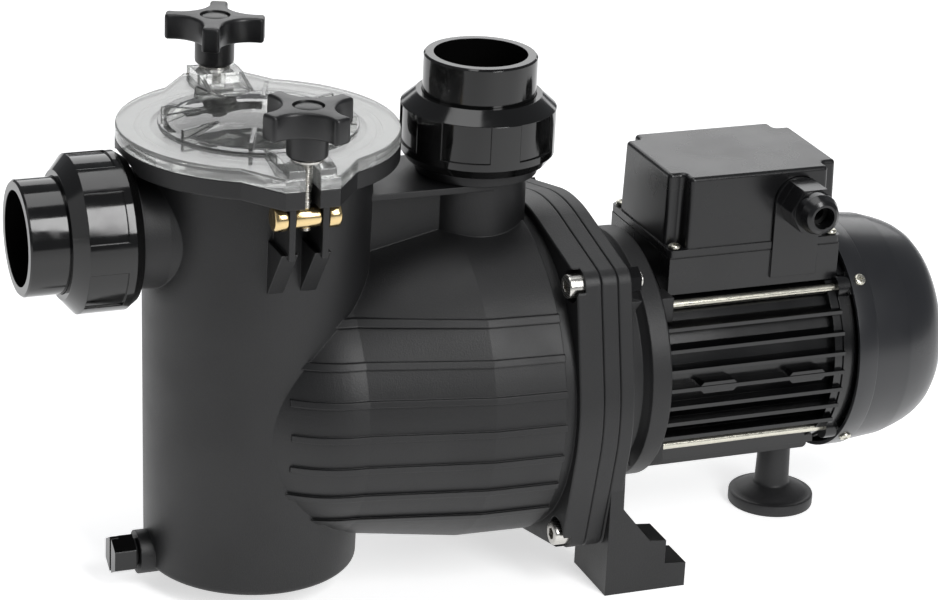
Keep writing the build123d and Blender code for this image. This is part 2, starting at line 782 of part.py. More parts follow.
def impeller():
    """Closed wheel: two discs, six swept blades and a hub on the shaft's nose."""
    back_disc = rod_x(joint_x - 10, joint_x - 7.5, impeller_radius)
    front_disc = turned_x([(joint_x - 20, eye_radius - 3), (joint_x - 34, eye_radius - 3),
                           (joint_x - 34, eye_radius), (joint_x - 22.5, eye_radius + 1),
                           (joint_x - 19, impeller_radius), (joint_x - 17, impeller_radius)])
    hub = rod_x(joint_x - 26, joint_x - 7.5, 10.5)
    blades = []
    for k in range(6):
        arc = slab_x(Pos(17, 26) * (Circle(31) - Circle(28.6)), joint_x - 19.2, joint_x - 9)
        swept = arc & (rod_x(joint_x - 25, joint_x, impeller_radius - 0.5) - rod_x(joint_x - 26, joint_x + 1, 9))
        swept = swept & block(joint_x - 25, joint_x, 0, 80, shaft_height - 30, shaft_height + 80)
        blades.append(Pos(0, 0, shaft_height) * Rot(60 * k, 0, 0) * Pos(0, 0, -shaft_height) * swept)
    wheel = back_disc + front_disc + hub + total(blades)
    return wheel - rod_x(joint_x - 40, joint_x, 6.0)


def seal_seat():
    x0 = joint_x + 6
    return rod_x(x0, joint_x + 12, 16.95) - rod_x(x0 - 1, joint_x + 13, 8.2)


def seal_head():
    x0 = joint_x - 7.4
    return rod_x(x0, joint_x + 5.95, 14.0) - rod_x(x0 - 1, joint_x + 7, shaft_radius)


# ---------------------------------------------------------------- bracket with feet
def foot_leg(side):
    """Outer gusset with two steps, and the thin plate with the slotted base inside it."""
    gusset = [(foot_front_x, 0), (foot_rear_x, 0), (foot_rear_x, 14), (7.3, 15), (7.3, 29), (-2.5, 30),
              (-19.5, 51), (bracket_rear_x, shaft_height), (foot_front_x, shaft_height)]
    base = [(foot_front_x, 0), (foot_rear_x, 0), (foot_rear_x, 9), (bracket_rear_x + 4, 9),
            (bracket_rear_x, 13), (bracket_rear_x, shaft_height - 30), (foot_front_x, shaft_height - 30)]
    ys = sorted((side * foot_gusset, side * foot_outer))
    zs = sorted((side * foot_inner, side * foot_gusset))
    return slab_y(gusset, ys[0], ys[1]) + slab_y(base, zs[0], zs[1])


def motor_bracket():
    """Flange, lantern and collar in one casting, standing on two feet."""
    plate = flange_slab(plate_rear_x, bracket_rear_x)
    skin = turned_x([(plate_rear_x + 1, 0), (plate_rear_x + 1, 80), (bracket_rear_x, 80),
                     (bracket_rear_x + 4, 68), (collar_start_x - 3, 66), (collar_start_x, collar_radius - 1.5),
                     (collar_start_x + 1.5, collar_radius), (collar_end_x - 1, collar_radius),
                     (collar_end_x, collar_radius - 1), (collar_end_x, 0)])
    bosses = [rod_boss_block(a, b) for a, b in stations]
    body = plate + skin + total(bosses) + foot_leg(-1) + foot_leg(1)
    body = body - lantern_hollow()
    body = body - bracket_bolt_holes()
    body = body - rod_cuts()
    return body - foot_slot(-1) - foot_slot(1)


def bracket_bolt_holes():
    """The upper bolts pass through to nuts; the lower ones are tapped into the feet."""
    holes = []
    for a, b in stations:
        y, z = a * flange_bolt_offset, shaft_height + b * flange_bolt_offset
        radius = bolt_size / 2 + 0.25 if b > 0 else bolt_size / 2
        holes.append(rod_x(plate_rear_x - 1, bracket_rear_x + bolt_engagement, radius, y, z))
    return total(holes)


def rod_boss_block(a, b):
    """Square lug on the lantern that takes the front end of a tie rod."""
    y, z = a * rod_offset, shaft_height + b * rod_offset
    return block(bracket_rear_x - 1, rod_boss_end, y - rod_boss, y + rod_boss, z - rod_boss, z + rod_boss)


def rod_cuts():
    """Hole for each tie rod, and the pocket for its nut, open towards the inside of the lantern."""
    cuts = []
    half, side = rod_nut_flats / math.sqrt(3) + 0.2, rod_nut_flats / 2 + 0.1
    for a, b in stations:
        y, z = a * rod_offset, shaft_height + b * rod_offset
        cuts.append(rod_x(rod_nut_x - 4, rod_boss_end + 1, rod_radius, y, z))
        ys = sorted((y + a * half, y - a * 15))
        cuts.append(block(rod_nut_x - 0.1, rod_nut_x + rod_nut_thickness + 0.1, ys[0], ys[1], z - side, z + side))
    return total(cuts)


def lantern_hollow():
    """Hub hole, open chamber, bearing seat and the recess that centres the stator housing."""
    seat_start = front_bearing_x
    return turned_x([(plate_rear_x - 1, 0), (plate_rear_x - 1, 24.0 + slack), (bracket_rear_x, 24.0 + slack),
                     (bracket_rear_x + 3, 55), (seat_start - 6, 55), (seat_start - 6, 14),
                     (seat_start, 14), (seat_start, bearing_radius), (seat_start + bearing_width, bearing_radius),
                     (seat_start + bearing_width, housing_bore), (collar_end_x - 6, housing_bore),
                     (collar_end_x - 6, housing_radius), (rod_boss_end + 1, housing_radius),
                     (rod_boss_end + 1, 0)])


def foot_slot(side):
    """Slot for an anchor bolt, long across the pump."""
    half = slot_length / 2 - slot_radius
    y = side * slot_offset
    ends = [rod_z(-1, 12, slot_radius, 0, y + s * half) for s in (-1, 1)]
    return total(ends) + block(-slot_radius, slot_radius, y - half, y + half, -1, 12)


def casing_bolts():
    """Socket-head bolts through the flange stack."""
    head_x = flange_front_x + bolt_pocket_depth
    bolts = []
    for a, b in stations:
        y, z = a * flange_bolt_offset, shaft_height + b * flange_bolt_offset
        bolt = rod_x(head_x - 8, head_x, 6.5, y, z) + rod_x(head_x, bracket_rear_x + bolt_engagement,
                                                          bolt_size / 2, y, z)
        key = Pos(head_x - 8, y, z) * Rot(0, 90, 0) * extrude(hexagon(6.0), 4.5)
        bolts.append(bolt - key)
    return group(bolts)


def casing_nuts():
    """Nuts on the two upper bolts."""
    nuts = []
    for a in (-1, 1):
        y, z = a * flange_bolt_offset, shaft_height + flange_bolt_offset
        nut = Pos(bracket_rear_x, y, z) * Rot(0, 90, 0) * extrude(hexagon(13.0), 6.5)
        nuts.append(nut - rod_x(bracket_rear_x - 1, bracket_rear_x + 8, bolt_size / 2, y, z))
    return group(nuts)


# ---------------------------------------------------------------- motor
def stator_housing():
    """Finned sleeve: level fins on the flanks, upright fins below, a pad on top and a rail underneath."""
    x0, x1 = collar_end_x, housing_end_x
    solid = rod_x(collar_end_x - 5.8, x1, housing_radius - running)
    for k in range(-3, 4):
        offset = k * fin_pitch
        reach = math.sqrt(fin_radius ** 2 - offset ** 2)
        half = fin_thickness / 2
        flank = block(x0 + 2, x1, -reach, reach, shaft_height + offset - half, shaft_height + offset + half)
        under = block(x0 + 2, x1, offset - half, offset + half, shaft_height - reach, shaft_height)
        solid = solid + flank + under
    end_ring = rod_x(x1 - end_ring_width, x1, end_ring_radius)
    for a, b in stations:
        end_ring = end_ring - rod_x(x1 - 10, x1 + 1, rod_radius + slack, a * rod_offset, shaft_height + b * rod_offset)
    end_ring = end_ring - block(x1 - 10, x1 + 1, -41, 41, box_bottom - 0.5, box_top)
    pad = block(box_start_x + 4, box_end_x - 4, -29, 29, shaft_height + 30, pad_top)
    rail = block(rod_boss_end + 2, x1 - 0.5, -bar_half_width, bar_half_width, bar_bottom, bar_top + 8)
    half = (bar_tongue_top - bar_bottom) / 2
    tongue = block(x1 - 3, bar_end_x - half, -bar_half_width, bar_half_width, bar_bottom, bar_tongue_top)
    rail = rail + tongue
    rail_end = rod_y(-bar_half_width, bar_half_width, half, bar_end_x - half, bar_bottom + half)
    solid = solid + end_ring + pad + rail + rail_end + flank_pads()
    solid = solid - rod_x(x0 - 10, x1 + 10, housing_bore) - rod_z(bar_bottom - 1, bar_top + 10, 4.0, foot_x)
    return solid


def flank_pads():
    """Two flat pads cast on the middle fin of each flank, their ends cut back at an angle."""
    pads = []
    for side in (-1, 1):
        for x in (housing_end_x - 77, housing_end_x - 23):
            ys = sorted((side * 50, side * (fin_radius - 0.5)))
            pad = block(x - 11, x + 11, ys[0], ys[1], shaft_height - 3.2, shaft_height + 3.2)
            pads.append(chamfer(pad.edges().filter_by(Axis.Y), 2.0))
    return total(pads)


def stator_core():
    return rod_x(core_start, core_end, housing_bore - seat_gap) - rod_x(
        core_start - 1, core_end + 1, rotor_radius + air_gap)


def windings():
    """Coil heads on both ends of the laminations."""
    heads = []
    for x0, x1 in ((core_start - 14, core_start), (core_end, core_end + 14)):
        heads.append(fillet((rod_x(x0, x1, 47) - rod_x(x0 - 1, x1 + 1, 33)).edges(), 2.5))
    return group(heads)


def rotor_core():
    body = rod_x(core_start, core_end, rotor_radius)
    end_rings = [rod_x(core_start - 5, core_start, 26), rod_x(core_end, core_end + 5, 26)]
    return body + total(end_rings) - rod_x(core_start - 6, core_end + 6, shaft_radius + 1.5)


def shaft():
    """Stepped stainless shaft from the impeller's nose to the fan."""
    return turned_x([(joint_x - 30, 0), (joint_x - 30, 6.0), (joint_x - 7.45, 6.0),
                     (joint_x - 7.45, shaft_radius), (core_start - 6, shaft_radius),
                     (core_start - 6, shaft_radius + 1.5), (core_end + 8, shaft_radius + 1.5),
                     (core_end + 8, shaft_radius), (fan_start - 3, shaft_radius), (fan_start - 3, 6.5),
                     (fan_end - 2, 6.5), (fan_end - 2, 0)])


def bearing_rings(inner_radius, outer_radius):
    """A plain race at each bearing station."""
    rings = []
    for x0 in (front_bearing_x, rear_bearing_x):
        race = rod_x(x0, x0 + bearing_width, outer_radius) - rod_x(x0 - 1, x0 + bearing_width + 1, inner_radius)
        centre = Pos(x0 + bearing_width / 2, 0, shaft_height) * Rot(0, 90, 0)
        race = race - centre * ring((shaft_radius + bearing_radius) / 2, ball_radius + running)
        rings.append(race)
    return group(rings)


def bearing_balls():
    balls = []
    pitch = (shaft_radius + bearing_radius) / 2
    for x0 in (front_bearing_x, rear_bearing_x):
        for k in range(ball_count):
            angle = 2 * math.pi * k / ball_count
            y, z = pitch * math.cos(angle), shaft_height + pitch * math.sin(angle)
            balls.append(Pos(x0 + bearing_width / 2, y, z) * Sphere(ball_radius))
    return group(balls)


def rear_shield():
    """End shield: bearing seat, an ear for each tie rod and four tongues that carry the fan cover."""
    x0, x1 = housing_end_x, rear_shield_end
    body = rod_x(x0, x1, fin_radius - 2)
    ears = [rod_x(x0, x1, rod_boss, a * rod_offset, shaft_height + b * rod_offset) for a, b in stations]
    tongues = []
    for a, b in stations:
        turn = math.degrees(math.atan2(b, a))
        tongue = block(x1 - 1, cover_spigot_end, 50, 70, -7, 7)
        tongues.append(Pos(0, 0, shaft_height) * Rot(turn, 0, 0) * tongue)
    band = rod_x(x1 - 1, cover_spigot_end, cover_mouth_radius - cover_wall) - rod_x(
        x1 - 2, cover_spigot_end + 1, fan_radius + 3)
    body = body + total(ears) + (band & total(tongues))
    seat = rear_bearing_x
    body = body - (rod_x(x0 - 1, x0 + 3, housing_bore) - rod_x(x0 - 2, x0 + 4, 22))
    body = body + rod_x(seat - 1, x1, 21)
    body = body - rod_x(seat - 2, seat + bearing_width, bearing_radius) - rod_x(seat, x1 + 1, 13.0)
    body = body - block(x0 - 1, box_end_x + 0.4, -41, 41, box_bottom - 0.5, box_top)
    holes = [rod_x(x0 - 1, x1 - 1, rod_radius, a * rod_offset, shaft_height + b * rod_offset)
             for a, b in stations]
    pins = []
    for a, b in stations:
        turn = math.degrees(math.atan2(b, a))
        pins.append(Pos(0, 0, shaft_height) * Rot(turn, 0, 0) * radial_pin(cover_screw_x, 57, 75, 1.75))
    return body - total(holes) - total(pins)


def tie_rods():
    """Long studs: nuts caught in the lantern's bosses, threaded into the shield's ears."""
    return group([rod_x(rod_nut_x - 2, rear_shield_end - 1, rod_radius, a * rod_offset,
                        shaft_height + b * rod_offset) for a, b in stations])


def tie_rod_nuts():
    nuts = []
    for a, b in stations:
        y, z = a * rod_offset, shaft_height + b * rod_offset
        nut = Pos(rod_nut_x, y, z) * Rot(0, 90, 0) * extrude(Rot(0, 0, 90) * hexagon(rod_nut_flats), rod_nut_thickness)
        nuts.append(nut - rod_x(rod_nut_x - 1, rod_nut_x + 5, rod_radius, y, z))
    return group(nuts)


def fan():
    """Plastic cooling fan: hub, back disc and eight straight blades."""
    body = rod_x(fan_start, fan_end, 13) + rod_x(fan_start, fan_start + 2, fan_radius)
    for k in range(8):
        blade = block(fan_start + 1, fan_end - 2, 8, fan_radius - 1, -1, 1)
        body = body + Pos(0, 0, shaft_height) * Rot(45 * k, 0, 0) * blade
    return body - rod_x(fan_start - 1, fan_end + 1, 6.5)


def cover_form(inset):
    """Hood's outer form, or the hollow inside it: a straight mouth, a small step and a smooth dome."""
    start = rear_shield_end - (1 if inset else 0)
    mouth, end = cover_mouth_radius - inset, cover_end_x - inset
    front = Polyline((start, 0), (start, mouth), (cover_step_x, mouth), (cover_step_x, mouth - 1))
    dome = Spline((cover_step_x, mouth - 1), (cover_mid_x, cover_mid_radius - inset),
                  (cover_mid_x + 14, cover_mid_radius - 4.5 - inset), (cover_mid_x + 23, 54 - inset),
                  (end - 3, 46 - inset), (end, 38 - inset), tangents=[(1, -0.06), (0.15, -1)])
    back = Polyline((end, 38 - inset), (end, 0), (start, 0))
    return Pos(0, 0, shaft_height) * revolve(make_face(front + dome + back), Axis.X)


def fan_cover():
    """Hood over the fan, open in front, with ringed air slots in its end."""
    shell = cover_form(0) - cover_form(cover_wall)
    slots = []
    for radius in (12, 18, 24, 30, 36):
        annulus = rod_x(cover_end_x - 20, cover_end_x + 1, radius + 1.8) - rod_x(
            cover_end_x - 20, cover_end_x + 1, radius - 1.8)
        slots.append(annulus)
    spokes = [Pos(cover_end_x, 0, shaft_height) * Rot(45 * k, 0, 0) * Box(60, 100, 3) for k in range(4)]
    return shell - (total(slots) - total(spokes)) - cover_screw_holes()


def cover_screw_holes():
    holes = []
    for a, b in stations:
        turn = math.degrees(math.atan2(b, a))
        holes.append(Pos(0, 0, shaft_height) * Rot(turn, 0, 0) * radial_pin(cover_screw_x, 55, 75, 1.8))
    return total(holes)


def radial_pin(x, r0, r1, radius):
    """Pin that stands out from the shaft line along +Y."""
    return Pos(x, r1, 0) * Rot(90, 0, 0) * Cylinder(radius, r1 - r0, align=X_CENTRE)


def cover_screws():
    """Pan-head screws through the cover's mouth into the shield's ears."""
    screws = []
    for a, b in stations:
        turn = math.degrees(math.atan2(b, a))
        screw = radial_pin(cover_screw_x, 60, cover_mouth_radius, 1.75) + radial_pin(
            cover_screw_x, cover_mouth_radius, cover_mouth_radius + 1.8, 3.4)
        screws.append(Pos(0, 0, shaft_height) * Rot(turn, 0, 0) * screw)
    return group(screws)


# ---------------------------------------------------------------- motor foot
def foot_pad():
    """Rubber foot: disc with a domed top, and a stem that narrows upwards."""
    top = bar_bottom
    edge, root = foot_disc_height, foot_disc_height + foot_dome
    points = [(0, 0), (foot_disc_radius, 0), (foot_disc_radius, edge - 1.2), (foot_disc_radius - 1.2, edge),
              (foot_disc_radius - 5.5, edge + 0.35 * foot_dome), (foot_stem_radius + 3.5, edge + 0.8 * foot_dome),
              (foot_stem_radius, root), (foot_stem_top, top - 0.1), (0, top - 0.1)]
    return turned_z(points, x=foot_x) - rod_z(top - 16, top + 1, 4.0, foot_x)


def foot_stud():
    return rod_z(bar_bottom - 16, shaft_height - housing_bore - 1.5, 4.0, foot_x)


# ---------------------------------------------------------------- terminal box
def box_plan(margin):
    """Rectangle of the box with its four corners notched for the screws."""
    length = box_end_x - box_start_x
    plan = Rectangle(length - 2 * margin, 2 * (box_half_width - margin))
    return Pos((box_start_x + box_end_x) / 2, 0) * plan


def notched_plan(margin):
    plan = box_plan(margin)
    for x in (box_start_x, box_end_x):
        for y in (-box_half_width, box_half_width):
            plan = plan - Pos(x, y) * Rectangle(2 * (box_notch + margin), 2 * (box_notch + margin))
    return plan


def arch_plate(grow, y0, y1):
    """Upstanding arch on the front of the base that carries the gland."""
    width = arch_radius + grow
    body = rod_y(y0, y1, width, gland_x, gland_height - 1)
    return body + block(gland_x - width, gland_x + width, y0, y1, box_bottom + 5, gland_height - 1)


def terminal_box_base():
    outer = extrude(Pos(0, 0, box_bottom) * box_plan(0.5), amount=box_seam - box_bottom)
    upper = extrude(Pos(0, 0, pad_top + 3) * box_plan(0.5 + box_wall), amount=box_seam)
    lower = extrude(Pos(0, 0, box_bottom - 1) * box_plan(0.5 + box_wall), amount=pad_top - box_bottom + 1)
    posts = [rod_z(box_bottom + 4, box_seam, 4.5, x, y) for x, y in screw_places()]
    front = -box_half_width
    arch = arch_plate(0, front - 1.0, front + 3.0)
    body = outer - upper - lower - rod_x(box_start_x - 5, box_end_x + 5, housing_radius + slack)
    body = body + total(posts) + arch
    body = body - total([rod_z(box_bottom + 8, box_seam + 1, 1.8, x, y) for x, y in screw_places()])
    body = body - rod_y(front - 2, front + 4, 10.1, gland_x, gland_height)
    return body - rod_z(pad_top - 5, pad_top + 5, 8, 83)


def screw_places():
    inset = box_notch / 2 + 0.5
    return [(x, y) for x in (box_start_x + inset, box_end_x - inset)
            for y in (-box_half_width + inset, box_half_width - inset)]


def terminal_box_lid():
    """Deep lid with a flange; its corners are notched so the screws sit low."""
    flange = extrude(Pos(0, 0, box_seam + 1) * box_plan(0), amount=box_flange_top - box_seam - 1)
    flange = fillet(flange.edges().filter_by(Axis.Z), 3.0)
    walls = loft([Pos(0, 0, box_flange_top - 1) * notched_plan(0.8), Pos(0, 0, box_top) * notched_plan(box_draft)])
    walls = fillet([e for e in walls.edges() if abs((e % 0.5).Z) > 0.9], 2.5)
    walls = fillet(walls.edges().group_by(Axis.Z)[-1], 2.2)
    inner = loft([Pos(0, 0, box_seam) * notched_plan(0.8 + box_wall),
                  Pos(0, 0, box_top - box_wall) * notched_plan(box_draft + box_wall)])
    body = flange + walls - inner
    window = arch_plate(slack, -box_half_width - 2, -box_half_width + 6) & block(
        0, 150, -60, 0, box_seam - 10, box_top + 5)
    body = body - window
    return body - total([rod_z(box_seam, box_flange_top + 1, 2.2, x, y) for x, y in screw_places()])


def box_gasket():
    """Flat seal in the seam, open where the arch stands."""
    seal = extrude(Pos(0, 0, box_seam + seat_gap) * (box_plan(0.8) - box_plan(0.8 + 2.2)),
                   amount=1 - 2 * seat_gap)
    return seal - arch_plate(slack, -box_half_width - 2, -box_half_width + 6)


def box_screws():
    """Pan-head cross-recess screws at the four corners."""
    screws = []
    for x, y in screw_places():
        screw = rod_z(box_flange_top - 14, box_flange_top, 1.75, x, y) + rod_z(
            box_flange_top, box_flange_top + 2.4, 3.9, x, y)
        cross = block(x - 2.4, x + 2.4, y - 0.5, y + 0.5, box_flange_top + 1, box_flange_top + 3)
        cross = cross + block(x - 0.5, x + 0.5, y - 2.4, y + 2.4, box_flange_top + 1, box_flange_top + 3)
        screws.append(screw - cross)
    return group(screws)


def terminal_block():
    """Moulded block with a row of screw clamps, on the floor of the box."""
    floor = pad_top + 3
    body = block(92, 112, -20, 22, floor, floor + 14)
    return body - total([rod_z(floor + 8, floor + 15, 2.5, 102, y) for y in (-14, -4, 6, 16)])


def capacitor():
    """Run capacitor lying along the box, in its saddle."""
    floor = pad_top + 3
    can = rod_x(30, 73, 15, 8, floor + 17)
    return can + block(35, 68, 0, 16, floor, floor + 6)


def gland_body():
    """Threaded sleeve with a hexagon against the arch; its tail passes into the box."""
    front = -box_half_width - 1.0
    hexa = Pos(gland_x, front, gland_height) * Rot(90, 0, 0) * extrude(hexagon(gland_hex), 6)
    sleeve = rod_y(front - 20, front + 11, 10.0, gland_x, gland_height)
    return hexa + sleeve - rod_y(front - 25, front + 15, 7.2, gland_x, gland_height)


def gland_nut():
    """Domed hexagon nut that squeezes the rubber onto the cable."""
    back = -box_half_width - 1.0 - 6.4
    hexa = Pos(gland_x, back, gland_height) * Rot(90, 0, 0) * extrude(hexagon(gland_hex), 12)
    dome = turned_z([(0, -12), (11.4, -12), (11.4, -18), (9.5, -22.5), (7.5, -24), (0, -24)])
    dome = Pos(gland_x, back, gland_height) * Rot(-90, 0, 0) * dome
    bore = rod_y(back - 16, back + 1, 10.0 + running + 0.05, gland_x, gland_height)
    return hexa + dome - bore - rod_y(back - 30, back, 6.2, gland_x, gland_height)


def gland_seal():
    front = -box_half_width - 1.0
    return rod_y(front - 20, front - 6, 7.15, gland_x, gland_height) - rod_y(
        front - 21, front - 5, cable_radius, gland_x, gland_height)


def gland_locknut():
    inside = -box_half_width + 3.0
    nut = Pos(gland_x, inside + 5, gland_height) * Rot(90, 0, 0) * extrude(hexagon(22.0), 5)
    return nut - rod_y(inside - 1, inside + 6, 10.0, gland_x, gland_height)


# ---------------------------------------------------------------- all the pieces
def all_nodes():
    nodes = {
        "pump_casing": pump_casing(),
        "lid": lid(),
        "lid_seal": lid_seal(),
        "strainer_basket": strainer_basket(),
        "basket_handle": basket_handle(),
        "suction_tailpiece": at_suction(tailpiece_form()),
        "suction_nut": at_suction(union_nut_form()),
        "discharge_tailpiece": at_discharge(tailpiece_form()),
        "discharge_nut": at_discharge(union_nut_form()),
        "union_seals": group([at_suction(union_seal_form()), at_discharge(union_seal_form())]),
        "drain_plug": drain_plug(),
        "drain_seal": drain_seal(),
        "seal_plate": seal_plate(),
        "casing_seal": casing_seal(),
        "diffuser": diffuser(),
        "diffuser_seal": diffuser_seal(),
        "impeller": impeller(),
        "seal_seat": seal_seat(),
        "seal_head": seal_head(),
        "motor_bracket": motor_bracket(),
        "casing_bolts": casing_bolts(),
        "casing_nuts": casing_nuts(),
        "stator_housing": stator_housing(),
        "stator_core": stator_core(),
        "windings": windings(),
        "rotor_core": rotor_core(),
        "shaft": shaft(),
        "bearing_inner_rings": bearing_rings(shaft_radius, shaft_radius + 3.2),
        "bearing_outer_rings": bearing_rings(bearing_radius - 3.2, bearing_radius),
        "bearing_balls": bearing_balls(),
        "rear_shield": rear_shield(),
        "tie_rods": tie_rods(),
        "tie_rod_nuts": tie_rod_nuts(),
        "fan": fan(),
        "fan_cover": fan_cover(),
        "fan_cover_screws": cover_screws(),
        "foot_pad": foot_pad(),
        "foot_stud": foot_stud(),
        "terminal_box_base": terminal_box_base(),
        "terminal_box_lid": terminal_box_lid(),
        "terminal_box_gasket": box_gasket(),
        "terminal_box_screws": box_screws(),
        "terminal_block": terminal_block(),
        "capacitor": capacitor(),
        "gland_body": gland_body(),
        "gland_nut": gland_nut(),
        "gland_seal": gland_seal(),
        "gland_locknut": gland_locknut(),
    }
    for name, side in (("front", -1), ("rear", 1)):
        nodes[name + "_trunnion"] = trunnion(side)
        nodes[name + "_swing_stud"] = stud(side)
        nodes[name + "_knob_washer"] = washer(side)
        nodes[name + "_knob"] = knob(side)
    return nodes


os.makedirs("parts", exist_ok=True)
for node, shape in all_nodes().items():
    export_step(shape, os.path.join("parts", node + ".step"))
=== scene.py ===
import math

import bmesh
import bpy
from mathutils import Matrix, Vector


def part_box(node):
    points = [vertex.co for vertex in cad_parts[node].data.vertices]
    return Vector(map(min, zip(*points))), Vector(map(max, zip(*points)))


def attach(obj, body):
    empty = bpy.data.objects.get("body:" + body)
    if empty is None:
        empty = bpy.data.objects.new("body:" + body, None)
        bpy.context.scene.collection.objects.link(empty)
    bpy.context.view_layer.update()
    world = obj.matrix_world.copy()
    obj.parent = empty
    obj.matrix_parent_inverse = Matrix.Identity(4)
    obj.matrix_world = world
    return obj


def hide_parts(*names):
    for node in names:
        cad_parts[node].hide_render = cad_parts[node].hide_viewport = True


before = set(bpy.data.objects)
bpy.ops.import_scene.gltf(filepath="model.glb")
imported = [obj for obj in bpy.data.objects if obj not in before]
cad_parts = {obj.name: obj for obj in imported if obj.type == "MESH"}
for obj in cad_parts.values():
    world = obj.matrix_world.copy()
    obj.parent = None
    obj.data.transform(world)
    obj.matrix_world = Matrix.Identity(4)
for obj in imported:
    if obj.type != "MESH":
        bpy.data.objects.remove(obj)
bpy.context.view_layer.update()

MM = 0.001

# ---------------------------------------------------------------- camera
# A long lens a little above the lid, looking back along the pump from the pot's side.
aim = Vector((-80.102, 0, 145.588)) * MM
azimuth, elevation, roll = math.radians(-22.248), math.radians(21.735), math.radians(2.7355)
back = Vector((math.sin(azimuth) * math.cos(elevation), -math.cos(azimuth) * math.cos(elevation),
               math.sin(elevation)))
across = Vector((0, 0, 1)).cross(back).normalized()
upward = back.cross(across)
right = across * math.cos(roll) + upward * math.sin(roll)
top = upward * math.cos(roll) - across * math.sin(roll)
lens = bpy.data.cameras.new("camera")
lens.lens, lens.sensor_width = 126.65, 36
lens.clip_start, lens.clip_end = 0.05, 50
camera = bpy.data.objects.new("camera", lens)
camera.matrix_world = Matrix((right, top, back)).transposed().to_4x4()
camera.location = aim + back * 1.80189
bpy.context.scene.collection.objects.link(camera)
bpy.context.scene.camera = camera

# ---------------------------------------------------------------- studio
# A white floor whose own glow, a painted pool of light, is strongest under the pump and fades towards
# the front, in a dim room. A tall softbox in front draws the bright bands on the gloss parts, a wide
# low one behind lights the flat tops, and weak ones fill from above and the left.


def linear(code):
    """Linear colour with alpha from an sRGB hex code."""
    parts = [int(code[i:i + 2], 16) / 255 for i in (1, 3, 5)]
    return [c / 12.92 if c <= 0.04045 else ((c + 0.055) / 1.055) ** 2.4 for c in parts] + [1.0]


def add(tree, kind, settings=None, **links):
    """Adds a shader node; settings are sockets by name or node properties, links join sockets."""
    made = tree.nodes.new("ShaderNode" + kind)
    for key, value in (settings or {}).items():
        if key in made.inputs:
            made.inputs[key].default_value = value
        else:
            setattr(made, key, value)
    for key, source in links.items():
        tree.links.new(source, made.inputs[key.replace("_", " ")])
    return made


def material(name):
    """Empty material with its output and one principled shader."""
    made = bpy.data.materials.new(name)
    made.use_nodes = True
    tree = made.node_tree
    tree.nodes.clear()
    shader = add(tree, "BsdfPrincipled")
    out = add(tree, "OutputMaterial")
    tree.links.new(shader.outputs["BSDF"], out.inputs["Surface"])
    return made, tree, shader


def softbox(name, place, target, width, height, power):
    """White rectangular lamp aimed at a point."""
    lamp = bpy.data.lights.new(name, "AREA")
    lamp.shape, lamp.size, lamp.size_y, lamp.energy = "RECTANGLE", width, height, power
    made = bpy.data.objects.new(name, lamp)
    made.location = place
    made.rotation_mode = "QUATERNION"
    made.rotation_quaternion = (Vector(target) - Vector(place)).to_track_quat("-Z", "Y")
    bpy.context.scene.collection.objects.link(made)


softbox("tall_front_box", (0.30, -1.35, 1.15), (-0.2, 0, 0.15), 0.5, 1.25, 19)
softbox("rear_box", (0.75, 2.0, 1.15), (-0.05, 0, 0.12), 2.6, 1.3, 17)
softbox("overhead_box", (-0.15, 0.1, 1.7), (-0.1, 0, 0.1), 1.1, 0.8, 7)
softbox("left_fill", (-1.9, 0.1, 0.7), (-0.1, 0, 0.12), 0.8, 1.3, 1.6)
world = bpy.data.worlds.new("dim_studio")
world.use_nodes = True
world.node_tree.nodes["Background"].inputs["Color"].default_value = linear("#f2f5fa")
world.node_tree.nodes["Background"].inputs["Strength"].default_value = 0.22
bpy.context.scene.world = world
bpy.context.scene.view_settings.view_transform = "Standard"

paper, tree, shader = material("floor_with_painted_glow")
shader.inputs["Base Color"].default_value = linear("#f2f2f2")
shader.inputs["Roughness"].default_value = 0.9
shader.inputs["Emission Color"].default_value = linear("#ffffff")
place = add(tree, "TexCoord").outputs["Object"]
depth = add(tree, "SeparateXYZ", Vector=place)
# Painted pool of light: the floor's own emission rises from none at the front to full under the pump.
glow_front, glow_back, glow_power = -0.95, -0.3, 0.6
glow = add(tree, "MapRange", {"From Min": glow_front, "From Max": glow_back, "To Max": glow_power},
           Value=depth.outputs["Y"])
tree.links.new(glow.outputs["Result"], shader.inputs["Emission Strength"])
sweep = bmesh.new()
floor_reach = 6.0
bmesh.ops.create_grid(sweep, x_segments=1, y_segments=1, size=floor_reach)
floor_mesh = bpy.data.meshes.new("floor")
sweep.to_mesh(floor_mesh)
sweep.free()
floor = bpy.data.objects.new("floor", floor_mesh)
floor_mesh.materials.append(paper)
bpy.context.scene.collection.objects.link(floor)

# ---------------------------------------------------------------- casing, seal plate and bracket
# The pot, drum and ports are one glass-filled polypropylene moulding; the seal plate and the footed
# bracket are the same compound. All three come off spark-eroded tools, so the skin has a fine
# pebble that breaks highlights up, and stays a touch glossier where the mould was smoother.


